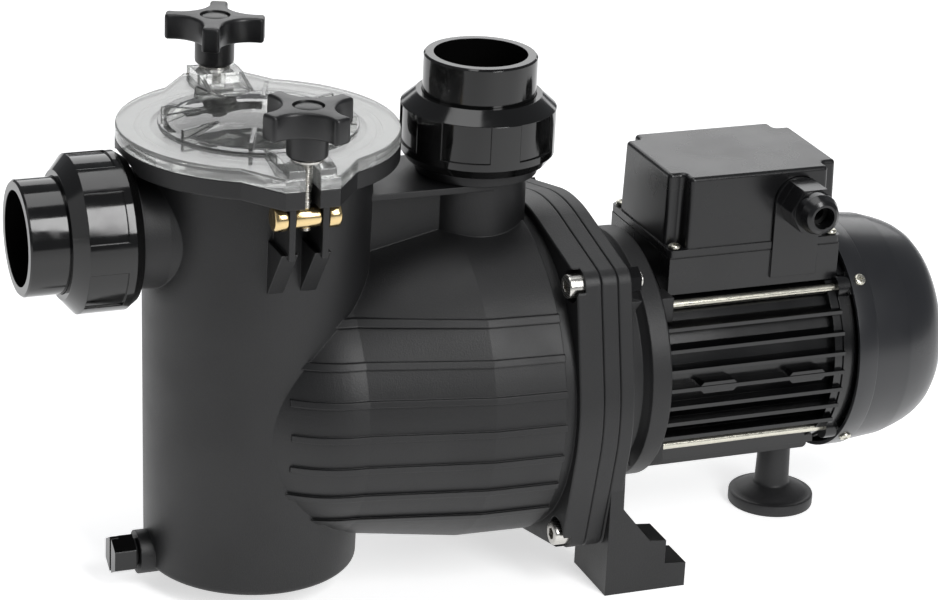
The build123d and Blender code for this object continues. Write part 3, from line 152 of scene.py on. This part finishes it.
def grained_plastic(name, code, pebble_mm, depth_mm, rough, edge_mm):
    """Moulded plastic with a fine spark-eroded grain, paler along its edges as a painted highlight."""
    made, tree, shader = material(name)
    place = add(tree, "TexCoord").outputs["Object"]
    pebble = add(tree, "TexNoise", {"Scale": 1 / (pebble_mm * MM), "Detail": 3.0, "Roughness": 0.6},
                 Vector=place)
    cloud = add(tree, "TexNoise", {"Scale": 18.0, "Detail": 4.0}, Vector=place)
    edge = add(tree, "Bevel", {"Radius": edge_mm * MM, "samples": 4})
    bump = add(tree, "Bump", {"Strength": 0.5, "Distance": depth_mm * MM},
               Height=pebble.outputs["Fac"], Normal=edge.outputs["Normal"])
    shade = add(tree, "MapRange", {"From Min": 0.3, "From Max": 0.7, "To Min": rough - 0.06,
                                   "To Max": rough + 0.08}, Value=cloud.outputs["Fac"])
    flat = add(tree, "NewGeometry")
    turn = add(tree, "VectorMath", {"operation": "DOT_PRODUCT"}, Vector=edge.outputs["Normal"])
    tree.links.new(flat.outputs["True Normal"], turn.inputs[1])
    # Painted edge highlight: the colour turns paler where the rounded-edge normal leans away from the true
    # face.
    edge_highlight = add(tree, "MapRange", {"From Min": 0.97, "From Max": 0.72, "To Max": 0.55},
                 Value=turn.outputs["Value"])
    tint = add(tree, "ValToRGB", Fac=pebble.outputs["Fac"])
    tint.color_ramp.elements[0].position, tint.color_ramp.elements[0].color = 0.35, linear(code)
    tint.color_ramp.elements[1].position = 0.75
    tint.color_ramp.elements[1].color = [min(1.0, c * 1.6) for c in linear(code)[:3]] + [1.0]
    pale = add(tree, "Mix", {"data_type": "RGBA"})
    tree.links.new(edge_highlight.outputs["Result"], pale.inputs[0])
    tree.links.new(tint.outputs["Color"], pale.inputs[6])
    pale.inputs[7].default_value = [min(1.0, c * 3 + 0.02) for c in linear(code)[:3]] + [1.0]
    tree.links.new(pale.outputs[2], shader.inputs["Base Color"])
    tree.links.new(shade.outputs["Result"], shader.inputs["Roughness"])
    tree.links.new(bump.outputs["Normal"], shader.inputs["Normal"])
    shader.inputs["IOR"].default_value = 1.49
    return made


def finish(names, made):
    """Puts a material on carried-over pieces."""
    for name in names:
        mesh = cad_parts[name].data
        mesh.materials.clear()
        mesh.materials.append(made)


polypropylene = grained_plastic("spark_eroded_polypropylene", "#101011", 0.9, 0.2, 0.46, 0.9)
finish(["pump_casing", "seal_plate", "motor_bracket"], polypropylene)

# ---------------------------------------------------------------- unions
# Socket tailpiece and ring nut of each union, in ABS from polished tools: deep gloss black with a
# barely visible orange-peel ripple. The nuts screw onto the stubs and pull the flange down. The
# drain plug is moulded in the same gloss plastic.


def gloss_plastic(name, code, ripple_mm, rough, edge_mm):
    """Polished moulded plastic with a long, shallow ripple."""
    made, tree, shader = material(name)
    place = add(tree, "TexCoord").outputs["Object"]
    ripple = add(tree, "TexNoise", {"Scale": 1 / (ripple_mm * MM), "Detail": 2.0}, Vector=place)
    edge = add(tree, "Bevel", {"Radius": edge_mm * MM, "samples": 4})
    bump = add(tree, "Bump", {"Strength": 0.06, "Distance": 0.2 * MM},
               Height=ripple.outputs["Fac"], Normal=edge.outputs["Normal"])
    smear = add(tree, "MapRange", {"From Min": 0.35, "From Max": 0.7, "To Min": rough - 0.04,
                                   "To Max": rough + 0.07}, Value=ripple.outputs["Fac"])
    tree.links.new(smear.outputs["Result"], shader.inputs["Roughness"])
    tree.links.new(bump.outputs["Normal"], shader.inputs["Normal"])
    shader.inputs["Base Color"].default_value = linear(code)
    shader.inputs["IOR"].default_value = 1.54
    return made


black_abs = gloss_plastic("polished_black_abs", "#0a0a0a", 14.0, 0.09, 0.5)
finish(["suction_tailpiece", "suction_nut", "discharge_tailpiece", "discharge_nut", "drain_plug"], black_abs)

# ---------------------------------------------------------------- seals
# O-rings of the lid, unions, drain, casing and diffuser, the gland's rubber and the box gasket:
# moulded nitrile, dull black with a soft, faintly cloudy sheen.


def rubber(name, code, bloom_mm, rough):
    """Moulded rubber with a faint, cloudy bloom."""
    made, tree, shader = material(name)
    place = add(tree, "TexCoord").outputs["Object"]
    bloom = add(tree, "TexNoise", {"Scale": 1 / (bloom_mm * MM), "Detail": 5.0}, Vector=place)
    bump = add(tree, "Bump", {"Strength": 0.3, "Distance": 0.15 * MM}, Height=bloom.outputs["Fac"])
    tint = add(tree, "ValToRGB", Fac=bloom.outputs["Fac"])
    tint.color_ramp.elements[0].color = linear(code)
    tint.color_ramp.elements[1].color = [c * 1.8 for c in linear(code)[:3]] + [1.0]
    tree.links.new(tint.outputs["Color"], shader.inputs["Base Color"])
    tree.links.new(bump.outputs["Normal"], shader.inputs["Normal"])
    shader.inputs["Roughness"].default_value = rough
    return made


nitrile = rubber("moulded_nitrile", "#161616", 2.0, 0.6)
finish(["lid_seal", "union_seals", "drain_seal", "casing_seal", "diffuser_seal", "gland_seal",
        "terminal_box_gasket"], nitrile)

# ---------------------------------------------------------------- lid
# Clear polycarbonate, moulded in one with its two slotted lugs and radial ribs. The dome is polished;
# the flat ring lets a little less through and shows milky white instead, a painted reflection for the
# bright light the clear flange throws back. Two swing bolts clamp it down.
low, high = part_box("lid")
pot_x = (low.x + high.x) / 2
clear_lid, tree, shader = material("clear_polycarbonate")
place = add(tree, "TexCoord").outputs["Object"]
flow = add(tree, "TexNoise", {"Scale": 60.0, "Detail": 3.0, "Distortion": 0.6}, Vector=place)
edge = add(tree, "Bevel", {"Radius": 0.9 * MM, "samples": 4})
bump = add(tree, "Bump", {"Strength": 0.3, "Distance": 0.5 * MM}, Height=flow.outputs["Fac"],
           Normal=edge.outputs["Normal"])
centred = add(tree, "VectorMath", {"operation": "SUBTRACT"}, Vector=place)
centred.inputs[1].default_value = (pot_x, 0, 0)
plan = add(tree, "VectorMath", {"operation": "MULTIPLY"}, Vector=centred.outputs["Vector"])
plan.inputs[1].default_value = (1, 1, 0)
reach = add(tree, "VectorMath", {"operation": "LENGTH"}, Vector=plan.outputs["Vector"])
dome_edge, ring_start = 49 * MM, 54 * MM
# Painted reflection: towards the ring the transmission drops and the white base colour shows as milk.
clear = add(tree, "MapRange", {"From Min": dome_edge, "From Max": ring_start, "To Min": 0.97, "To Max": 0.86},
            Value=reach.outputs["Value"])
satin = add(tree, "MapRange", {"From Min": dome_edge, "From Max": ring_start, "To Min": 0.02, "To Max": 0.09},
            Value=reach.outputs["Value"])
tree.links.new(clear.outputs["Result"], shader.inputs["Transmission Weight"])
tree.links.new(satin.outputs["Result"], shader.inputs["Roughness"])
tree.links.new(bump.outputs["Normal"], shader.inputs["Normal"])
shader.inputs["Base Color"].default_value = linear("#f1f2f0")
shader.inputs["IOR"].default_value = 1.58
finish(["lid"], clear_lid)

# ---------------------------------------------------------------- strainer basket
# Basket moulded in uncoloured polypropylene, so it is pale and slightly dull. It hangs on the pot's
# shelf, slotted all round, with a strap handle clipped across its mouth.
pale_plastic = grained_plastic("natural_polypropylene", "#a9aaa8", 1.2, 0.1, 0.45, 0.5)
finish(["strainer_basket", "basket_handle"], pale_plastic)

# ---------------------------------------------------------------- swing bolts
# Brass cross pin, turned from bar and left bright; M6 stainless stud screwed through it; plain
# washer under each knob. The stud's thread is cut at a 1 mm pitch.


def turned_metal(name, code, rough, line_mm, axis):
    """Machined metal with fine tool lines across the given axis."""
    made, tree, shader = material(name)
    place = add(tree, "TexCoord").outputs["Object"]
    draw_out = 30.0
    stretch = [1.0, 1.0, 1.0]
    stretch[axis] = draw_out
    spread = add(tree, "Mapping", {"Scale": stretch}, Vector=place)
    lines = add(tree, "TexNoise", {"Scale": 1 / (line_mm * MM * draw_out), "Detail": 3.0},
                Vector=spread.outputs["Vector"])
    edge = add(tree, "Bevel", {"Radius": 0.35 * MM, "samples": 4})
    bump = add(tree, "Bump", {"Strength": 0.25, "Distance": 0.05 * MM}, Height=lines.outputs["Fac"],
               Normal=edge.outputs["Normal"])
    smear = add(tree, "MapRange", {"From Min": 0.3, "From Max": 0.7, "To Min": rough - 0.06,
                                   "To Max": rough + 0.1}, Value=lines.outputs["Fac"])
    tree.links.new(smear.outputs["Result"], shader.inputs["Roughness"])
    tree.links.new(bump.outputs["Normal"], shader.inputs["Normal"])
    shader.inputs["Base Color"].default_value = linear(code)
    shader.inputs["Metallic"].default_value = 1.0
    return made


brass = turned_metal("turned_brass", "#dcc391", 0.16, 0.12, 0)
stainless = turned_metal("stainless_steel", "#c9c7c2", 0.24, 0.3, 2)
finish(["front_knob_washer", "rear_knob_washer"], stainless)


def piece(name, bm, made, body, nodes):
    """Makes an object of a finished bmesh, puts it on its body and hides the solids it stands for."""
    bmesh.ops.remove_doubles(bm, verts=bm.verts, dist=1e-6)
    bmesh.ops.recalc_face_normals(bm, faces=bm.faces)
    mesh = bpy.data.meshes.new(name)
    bm.to_mesh(mesh)
    bm.free()
    mesh.materials.append(made)
    for face in mesh.polygons:
        face.use_smooth = True
    mesh.set_sharp_from_angle(angle=math.radians(35))
    made_object = bpy.data.objects.new(name, mesh)
    bpy.context.scene.collection.objects.link(made_object)
    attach(made_object, body)
    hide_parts(*nodes)


def lathe(bm, points, centre, axis=(0, 0, 1), steps=64):
    """Closed form turned about a line, from (radius, distance along) points in millimetres."""
    axis = Vector(axis)
    outward = Vector((0, 1, 0)) if abs(axis.x) > 0.5 else Vector((1, 0, 0))
    verts = [bm.verts.new(Vector(centre) + outward * r * MM + axis * along * MM) for r, along in points]
    edges = [bm.edges.new(pair) for pair in zip(verts, verts[1:])]
    bmesh.ops.spin(bm, geom=verts + edges, cent=centre, axis=axis, angle=math.tau, steps=steps,
                   use_merge=True)


for side in ("front", "rear"):
    low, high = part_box(side + "_trunnion")
    centre = (low + high) / 2
    bm = bmesh.new()
    lathe(bm, [(0, -6.9), (5.2, -6.9), (5.75, -6.6), (5.9, -6.0), (5.9, 6.0), (5.75, 6.6), (5.2, 6.9),
               (0, 6.9)], centre, (1, 0, 0), 48)
    for way in (-1, 1):
        lathe(bm, [(0, way * 6), (3.5, way * 6), (3.5, way * 10.75), (5.9, way * 10.75), (6.6, way * 11.1),
                   (6.8, way * 11.9), (6.8, way * 16.0), (6.55, way * 17.0), (5.9, way * 17.6),
                   (4.6, way * 17.78), (0, way * 17.8)], centre, (1, 0, 0), 48)
    piece(side + "_cross_pin", bm, brass, side + "_bolt", [side + "_trunnion"])

thread_pitch, thread_depth, facets = 1.0 * MM, 0.6 * MM, 20
for side in ("front", "rear"):
    low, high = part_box(side + "_swing_stud")
    centre = (low + high) / 2
    bm = bmesh.new()
    crest = (high.x - low.x) / 2
    root = crest - thread_depth
    verts = [bm.verts.new((centre.x + r, centre.y, low.z + rise * thread_pitch))
             for r, rise in ((root, 0), (crest, 0.42), (crest, 0.58), (root, 1))]
    outline = verts + [bm.edges.new(pair) for pair in zip(verts, verts[1:])]
    turns = int((high.z - low.z) / thread_pitch) - 1
    bmesh.ops.spin(bm, geom=outline, cent=centre, axis=(0, 0, 1), dvec=(0, 0, thread_pitch / facets),
                   angle=math.tau * turns, steps=facets * turns)
    bmesh.ops.remove_doubles(bm, verts=bm.verts, dist=1e-5)
    bmesh.ops.holes_fill(bm, edges=[e for e in bm.edges if e.is_boundary], sides=0)
    piece(side + "_stud_thread", bm, stainless, side + "_bolt", [side + "_swing_stud"])

# ---------------------------------------------------------------- lid knobs
# Four-armed hand knobs moulded in glass-filled nylon round a threaded insert: satin black, hollowed
# between the arms, every edge rounded for the hand, with a flat cap sunk in a round well on top.
nylon = grained_plastic("satin_black_nylon", "#121213", 0.7, 0.06, 0.36, 0.3)
tip, half_arm, waist = 26.8, 5.4, 13.5
grip_floor, well_radius = 13.4, 8.3
corner_round, rim_round = 2.6 * MM, 1.7 * MM
arc_points = 15
away = (tip ** 2 + half_arm ** 2 - waist ** 2) / (math.sqrt(2) * (tip + half_arm) - 2 * waist)
hollow, corner = away - waist, away / math.sqrt(2)
first = math.atan2(half_arm - corner, tip - corner)
last = math.atan2(tip - corner, half_arm - corner) - math.tau
for side, lobe_turn in (("front", 23), ("rear", 68)):
    low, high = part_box(side + "_knob")
    centre = (low + high) / 2
    floor_z, top_z = low.z + grip_floor * MM, high.z
    bm = bmesh.new()
    plan = []
    for k in range(4):
        spin = Matrix.Rotation(math.radians(lobe_turn + 90 * k), 4, "Z")
        for step in range(arc_points):
            angle = first + (last - first) * step / (arc_points - 1)
            x, y = corner + hollow * math.cos(angle), corner + hollow * math.sin(angle)
            plan.append(spin @ Vector((x, y, 0)) * MM)
    outline = [bm.verts.new((centre.x + p.x, centre.y + p.y, floor_z)) for p in plan]
    base_face = bm.faces.new(outline)
    grown = bmesh.ops.extrude_face_region(bm, geom=[base_face], use_keep_orig=True)["geom"]
    bmesh.ops.translate(bm, verts=[g for g in grown if isinstance(g, bmesh.types.BMVert)],
                        vec=(0, 0, top_z - floor_z))
    ends = {outline[i] for i in range(len(plan)) if i % arc_points in (0, arc_points - 1)}
    uprights = [e for e in bm.edges
                if abs(e.verts[0].co.z - e.verts[1].co.z) > MM and ends & set(e.verts)]
    bmesh.ops.bevel(bm, geom=uprights, offset=corner_round, offset_type="OFFSET", segments=4, profile=0.5,
                    affect="EDGES", material=-1)
    rims = [e for e in bm.edges if abs(e.verts[0].co.z - e.verts[1].co.z) < 1e-6]
    bmesh.ops.bevel(bm, geom=rims, offset=rim_round, offset_type="OFFSET", segments=4, profile=0.5,
                    affect="EDGES", material=-1)
    crown_face = max(bm.faces, key=lambda face: (face.calc_center_median().z, face.calc_area()))
    border = list(crown_face.edges)
    bmesh.ops.delete(bm, geom=[crown_face], context="FACES_ONLY")
    well = bmesh.ops.create_circle(bm, segments=64, radius=well_radius * MM,
                                   matrix=Matrix.Translation((centre.x, centre.y, top_z)))
    border += list({e for v in well["verts"] for e in v.link_edges})
    bmesh.ops.triangle_fill(bm, use_beauty=True, use_dissolve=False, edges=border, normal=(0, 0, 1))
    base, crown = low.z / MM, top_z / MM
    lathe(bm, [(0, base + 22), (3.1, base + 22), (3.1, base), (8.4, base), (9.6, base + 0.4),
               (10.5, base + 1.3), (10.7, base + 2.6), (10.7, base + 14), (0, base + 14)],
          (centre.x, centre.y, 0))
    lathe(bm, [(well_radius, crown), (8.15, crown - 0.3), (8.0, crown - 1.5), (7.2, crown - 1.6),
               (7.0, crown - 1.0), (6.5, crown - 0.7), (3.0, crown - 0.5), (0, crown - 0.45)],
          (centre.x, centre.y, 0))
    piece(side + "_grip", bm, nylon, side + "_knob", [side + "_knob"])

# ---------------------------------------------------------------- pump internals
# Diffuser, impeller and shaft seal, out of sight inside the drum: black acetal mouldings, a white
# ceramic seat and a carbon ring. The motor's fan is an acetal moulding too.
acetal = grained_plastic("black_acetal", "#1c1c1d", 1.0, 0.08, 0.38, 0.4)
finish(["diffuser", "impeller", "fan"], acetal)
ceramic = gloss_plastic("alumina_ceramic", "#e9e6dd", 6.0, 0.2, 0.3)
finish(["seal_seat"], ceramic)
carbon = grained_plastic("seal_carbon", "#1a1a1b", 0.5, 0.03, 0.4, 0.2)
finish(["seal_head"], carbon)

# ---------------------------------------------------------------- casing bolts
# M8 stainless socket-head bolts through the flange stack; each head is turned from bar, its rim
# rounded, with a hexagon broached into the end. The nuts behind are black phosphated steel.
black_steel = turned_metal("phosphated_steel", "#1c1c1d", 0.4, 0.2, 0)
finish(["casing_nuts"], black_steel)


def headed(bm, place, drive, depth, rings):
    """Turned fastener with a drive broached in its end, which is at z=0 and faces +Z; millimetres."""
    around = 48
    cuts = around // len(drive) - 1
    loop = [bm.verts.new((x * MM, y * MM, 0)) for x, y in drive]
    edges = [bm.edges.new((loop[i - 1], loop[i])) for i in range(len(loop))]
    split = bmesh.ops.subdivide_edges(bm, edges=edges, cuts=cuts)["geom"]
    mouth = [g for g in split if isinstance(g, bmesh.types.BMEdge)]
    loops = [mouth]
    for radius, z in rings:
        made = bmesh.ops.create_circle(bm, segments=around, radius=radius * MM,
                                       matrix=Matrix.Translation((0, 0, z * MM)))
        loops.append(list({e for v in made["verts"] for e in v.link_edges}))
    for one, two in zip(loops, loops[1:]):
        bmesh.ops.bridge_loops(bm, edges=one + two)
    bmesh.ops.holes_fill(bm, edges=loops[-1], sides=0)
    pit = bmesh.ops.extrude_edge_only(bm, edges=mouth)["geom"]
    bmesh.ops.translate(bm, verts=[g for g in pit if isinstance(g, bmesh.types.BMVert)],
                        vec=(0, 0, -depth * MM))
    bmesh.ops.holes_fill(bm, edges=[g for g in pit if isinstance(g, bmesh.types.BMEdge)], sides=0)
    bmesh.ops.transform(bm, matrix=place, verts=[v for v in bm.verts if not v.tag])
    for vert in bm.verts:
        vert.tag = True


key_corner, head_radius = 3.46, 6.5
hexagon = [(key_corner * math.cos(k * math.pi / 3), key_corner * math.sin(k * math.pi / 3)) for k in range(6)]
low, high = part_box("casing_bolts")
bm = bmesh.new()
for y in (low.y + head_radius * MM, high.y - head_radius * MM):
    for z in (low.z + head_radius * MM, high.z - head_radius * MM):
        headed(bm, Matrix.Translation((low.x, y, z)) @ Matrix.Rotation(-math.pi / 2, 4, "Y"), hexagon, 4.5,
               [(5.5, 0), (6.1, -0.2), (6.45, -0.7), (head_radius, -1.2), (head_radius, -8), (4, -8), (4, -43)])
piece("socket_bolts", bm, stainless, "pump", ["casing_bolts"])

# ---------------------------------------------------------------- motor
# Die-cast aluminium stator sleeve with its fins, the rail underneath and the rear end shield, all
# under thin satin-black enamel that fills the corners and shines along the fin tips.


def enamel(name, code, rough, peel_mm, edge_mm):
    """Stoved black paint on metal, with orange peel and a slightly uneven shine."""
    made, tree, shader = material(name)
    place = add(tree, "TexCoord").outputs["Object"]
    peel = add(tree, "TexNoise", {"Scale": 1 / (peel_mm * MM), "Detail": 3.0}, Vector=place)
    cloud = add(tree, "TexNoise", {"Scale": 25.0, "Detail": 3.0}, Vector=place)
    edge = add(tree, "Bevel", {"Radius": edge_mm * MM, "samples": 4})
    bump = add(tree, "Bump", {"Strength": 0.25, "Distance": 0.08 * MM}, Height=peel.outputs["Fac"],
               Normal=edge.outputs["Normal"])
    shine = add(tree, "MapRange", {"From Min": 0.3, "From Max": 0.7, "To Min": rough - 0.05,
                                   "To Max": rough + 0.08}, Value=cloud.outputs["Fac"])
    tree.links.new(shine.outputs["Result"], shader.inputs["Roughness"])
    tree.links.new(bump.outputs["Normal"], shader.inputs["Normal"])
    shader.inputs["Base Color"].default_value = linear(code)
    shader.inputs["Coat Weight"].default_value = 0.2
    shader.inputs["Coat Roughness"].default_value = 0.15
    return made


motor_enamel = enamel("stoved_enamel_on_casting", "#050506", 0.2, 1.2, 0.4)
finish(["stator_housing", "rear_shield"], motor_enamel)

# ---------------------------------------------------------------- motor internals
# All inside the sleeve: stator and rotor cores stacked from steel laminations, coil heads of
# enamelled copper wire, and a ground steel shaft in two ball bearings.
lamination = turned_metal("stacked_laminations", "#7d7d7c", 0.4, 0.5, 0)
finish(["stator_core", "rotor_core"], lamination)
bearing_steel = turned_metal("ground_bearing_steel", "#cfd0d0", 0.12, 0.2, 0)
finish(["shaft", "bearing_inner_rings", "bearing_outer_rings", "bearing_balls"], bearing_steel)
copper = turned_metal("enamelled_copper", "#b5652f", 0.35, 0.6, 0)
finish(["windings"], copper)

# ---------------------------------------------------------------- tie rods
# Four long rods with nuts, in bright zinc-plated steel, that clamp the rear shield and the sleeve
# against the bracket. The foot's stud has the same plating.
zinc = turned_metal("bright_zinc_plate", "#cfccbf", 0.26, 0.2, 1)
finish(["tie_rods", "tie_rod_nuts", "foot_stud"], zinc)

# ---------------------------------------------------------------- fan cover
# Pressed steel hood over the fan: a rolled step behind its mouth band, a soft crease where the dome
# starts, ringed air slots in its end; satin black enamel. Four pan-head screws hold it to the shield.
hood_enamel = enamel("satin_enamel_on_steel", "#1b1c1f", 0.32, 0.8, 0.5)
low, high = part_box("fan_cover")
mouth_x, middle = low.x / MM, (0, 0, (low.z + high.z) / 2)
bm = bmesh.new()
lathe(bm, [(rad, mouth_x + x) for rad, x in (
    (64.8, 0), (67, 0), (67, 10.8), (66.7, 11.4), (66.1, 11.6), (64.1, 32.5), (63.7, 34.5), (61.4, 42),
    (59.4, 47.4), (57, 52.2), (54, 56.4), (50.2, 59.8), (46, 62), (42, 63.6), (37.8, 64.5), (34.2, 64.5),
    (34.2, 62.3), (38, 62.3), (43.8, 60), (51.8, 55), (57.3, 46.5), (61.8, 33.5), (63.8, 12), (64.8, 11),
    (64.8, 0))], middle, (1, 0, 0), 96)
ring_back, ring_face = mouth_x + 62.3, mouth_x + 64.4
for inner, outer in ((0.05, 10.2), (13.8, 16.2), (19.8, 22.2), (25.8, 28.2), (31.8, 34.3)):
    lathe(bm, [(inner, ring_back), (outer, ring_back), (outer, ring_face), (inner, ring_face),
               (inner, ring_back)], middle, (1, 0, 0), 96)
bar_back, bar_half_width, bar_reach, bar_depth = 62.4 * MM, 1.5 * MM, 36.5 * MM, 1.9 * MM
for k in range(4):
    place = Matrix.Translation((low.x + bar_back, 0, middle[2])) @ Matrix.Rotation(
        math.radians(45 * k), 4, "X") @ Matrix.Rotation(math.pi / 2, 4, "Y")
    bar = bmesh.ops.create_grid(bm, x_segments=1, y_segments=1, size=1, matrix=place @ Matrix.Diagonal(
        (bar_half_width, bar_reach, 1, 1)))["verts"]
    grown = bmesh.ops.extrude_face_region(bm, geom=list({f for v in bar for f in v.link_faces}),
                                          use_keep_orig=True)
    bmesh.ops.translate(bm, verts=[g for g in grown["geom"] if isinstance(g, bmesh.types.BMVert)],
                        vec=(bar_depth, 0, 0))
piece("hood", bm, hood_enamel, "pump", ["fan_cover"])

cross = [(1.7, 0.42), (0.42, 0.42), (0.42, 1.7), (-0.42, 1.7), (-0.42, 0.42), (-1.7, 0.42),
         (-1.7, -0.42), (-0.42, -0.42), (-0.42, -1.7), (0.42, -1.7), (0.42, -0.42), (1.7, -0.42)]
pan_radius, cross_depth = 3.4, 1.2
pan_head = [(2.2, -0.02), (2.8, -0.2), (3.2, -0.6), (pan_radius, -1.1), (pan_radius, -1.8), (1.7, -1.8),
            (1.7, -7.5)]
head_top = 68.8 * MM
low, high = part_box("fan_cover_screws")
centre = (low + high) / 2
bm = bmesh.new()
for k in range(4):
    out = Matrix.Translation(centre) @ Matrix.Rotation(math.radians(45 + 90 * k), 4, "X")
    headed(bm, out @ Matrix.Translation((0, 0, head_top)), cross, cross_depth, pan_head)
piece("hood_screws", bm, zinc, "pump", ["fan_cover_screws"])

# ---------------------------------------------------------------- motor foot
# Moulded rubber foot that carries the motor's end: a domed disc with a soft lip and a tapered stem,
# on a stud screwed up into the rail.
foot_rubber = rubber("foot_rubber", "#1a1a1b", 1.5, 0.5)
low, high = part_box("foot_pad")
centre = (low + high) / 2
bm = bmesh.new()
wide, stem_top = (high.x - low.x) / 2 / MM, high.z / MM
lathe(bm, [(0, 0), (wide - 1.0, 0), (wide - 0.2, 0.3), (wide, 1.0), (wide, 5.6), (wide - 0.25, 6.4),
           (wide - 0.9, 6.8), (wide - 1.8, 6.85), (wide - 2.6, 6.9), (wide - 4.5, 8.1), (wide - 7, 9.4),
           (wide - 10, 10.8), (11.2, 12.2), (10.4, 12.7), (10.1, 13.4), (9.9, 15.5), (9.2, stem_top - 1.0),
           (8.9, stem_top - 0.2), (8.3, stem_top), (0, stem_top)], (centre.x, centre.y, 0), steps=72)
piece("rubber_foot", bm, foot_rubber, "pump", ["foot_pad"])

# ---------------------------------------------------------------- terminal box
# Base and deep lid moulded in satin black ABS with a very fine grain, held on by four pan-head
# screws at the notched corners.
box_abs = grained_plastic("satin_black_abs", "#101011", 0.6, 0.02, 0.27, 0.4)
finish(["terminal_box_base", "terminal_box_lid"], box_abs)
low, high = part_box("terminal_box_screws")
bm = bmesh.new()
for x in (low.x + pan_radius * MM, high.x - pan_radius * MM):
    for y in (low.y + pan_radius * MM, high.y - pan_radius * MM):
        headed(bm, Matrix.Translation((x, y, high.z)), cross, cross_depth, pan_head)
piece("box_screws", bm, zinc, "pump", ["terminal_box_screws"])

# ---------------------------------------------------------------- cable gland
# Body, dome nut and locknut of the gland: black nylon straight from the mould, a little glossier
# than the box that it is fixed in.
gland_nylon = grained_plastic("gland_nylon", "#101011", 0.6, 0.03, 0.24, 0.5)
finish(["gland_body", "gland_nut", "gland_locknut"], gland_nylon)

# ---------------------------------------------------------------- box internals
# Inside the terminal box, out of sight: a terminal block moulded in cream thermoset, and the run
# capacitor in its plain grey plastic can.
thermoset = grained_plastic("cream_thermoset", "#c9c2ae", 0.8, 0.05, 0.5, 0.3)
finish(["terminal_block"], thermoset)
can_plastic = grained_plastic("grey_can", "#b9bab9", 0.8, 0.05, 0.4, 0.5)
finish(["capacitor"], can_plastic)
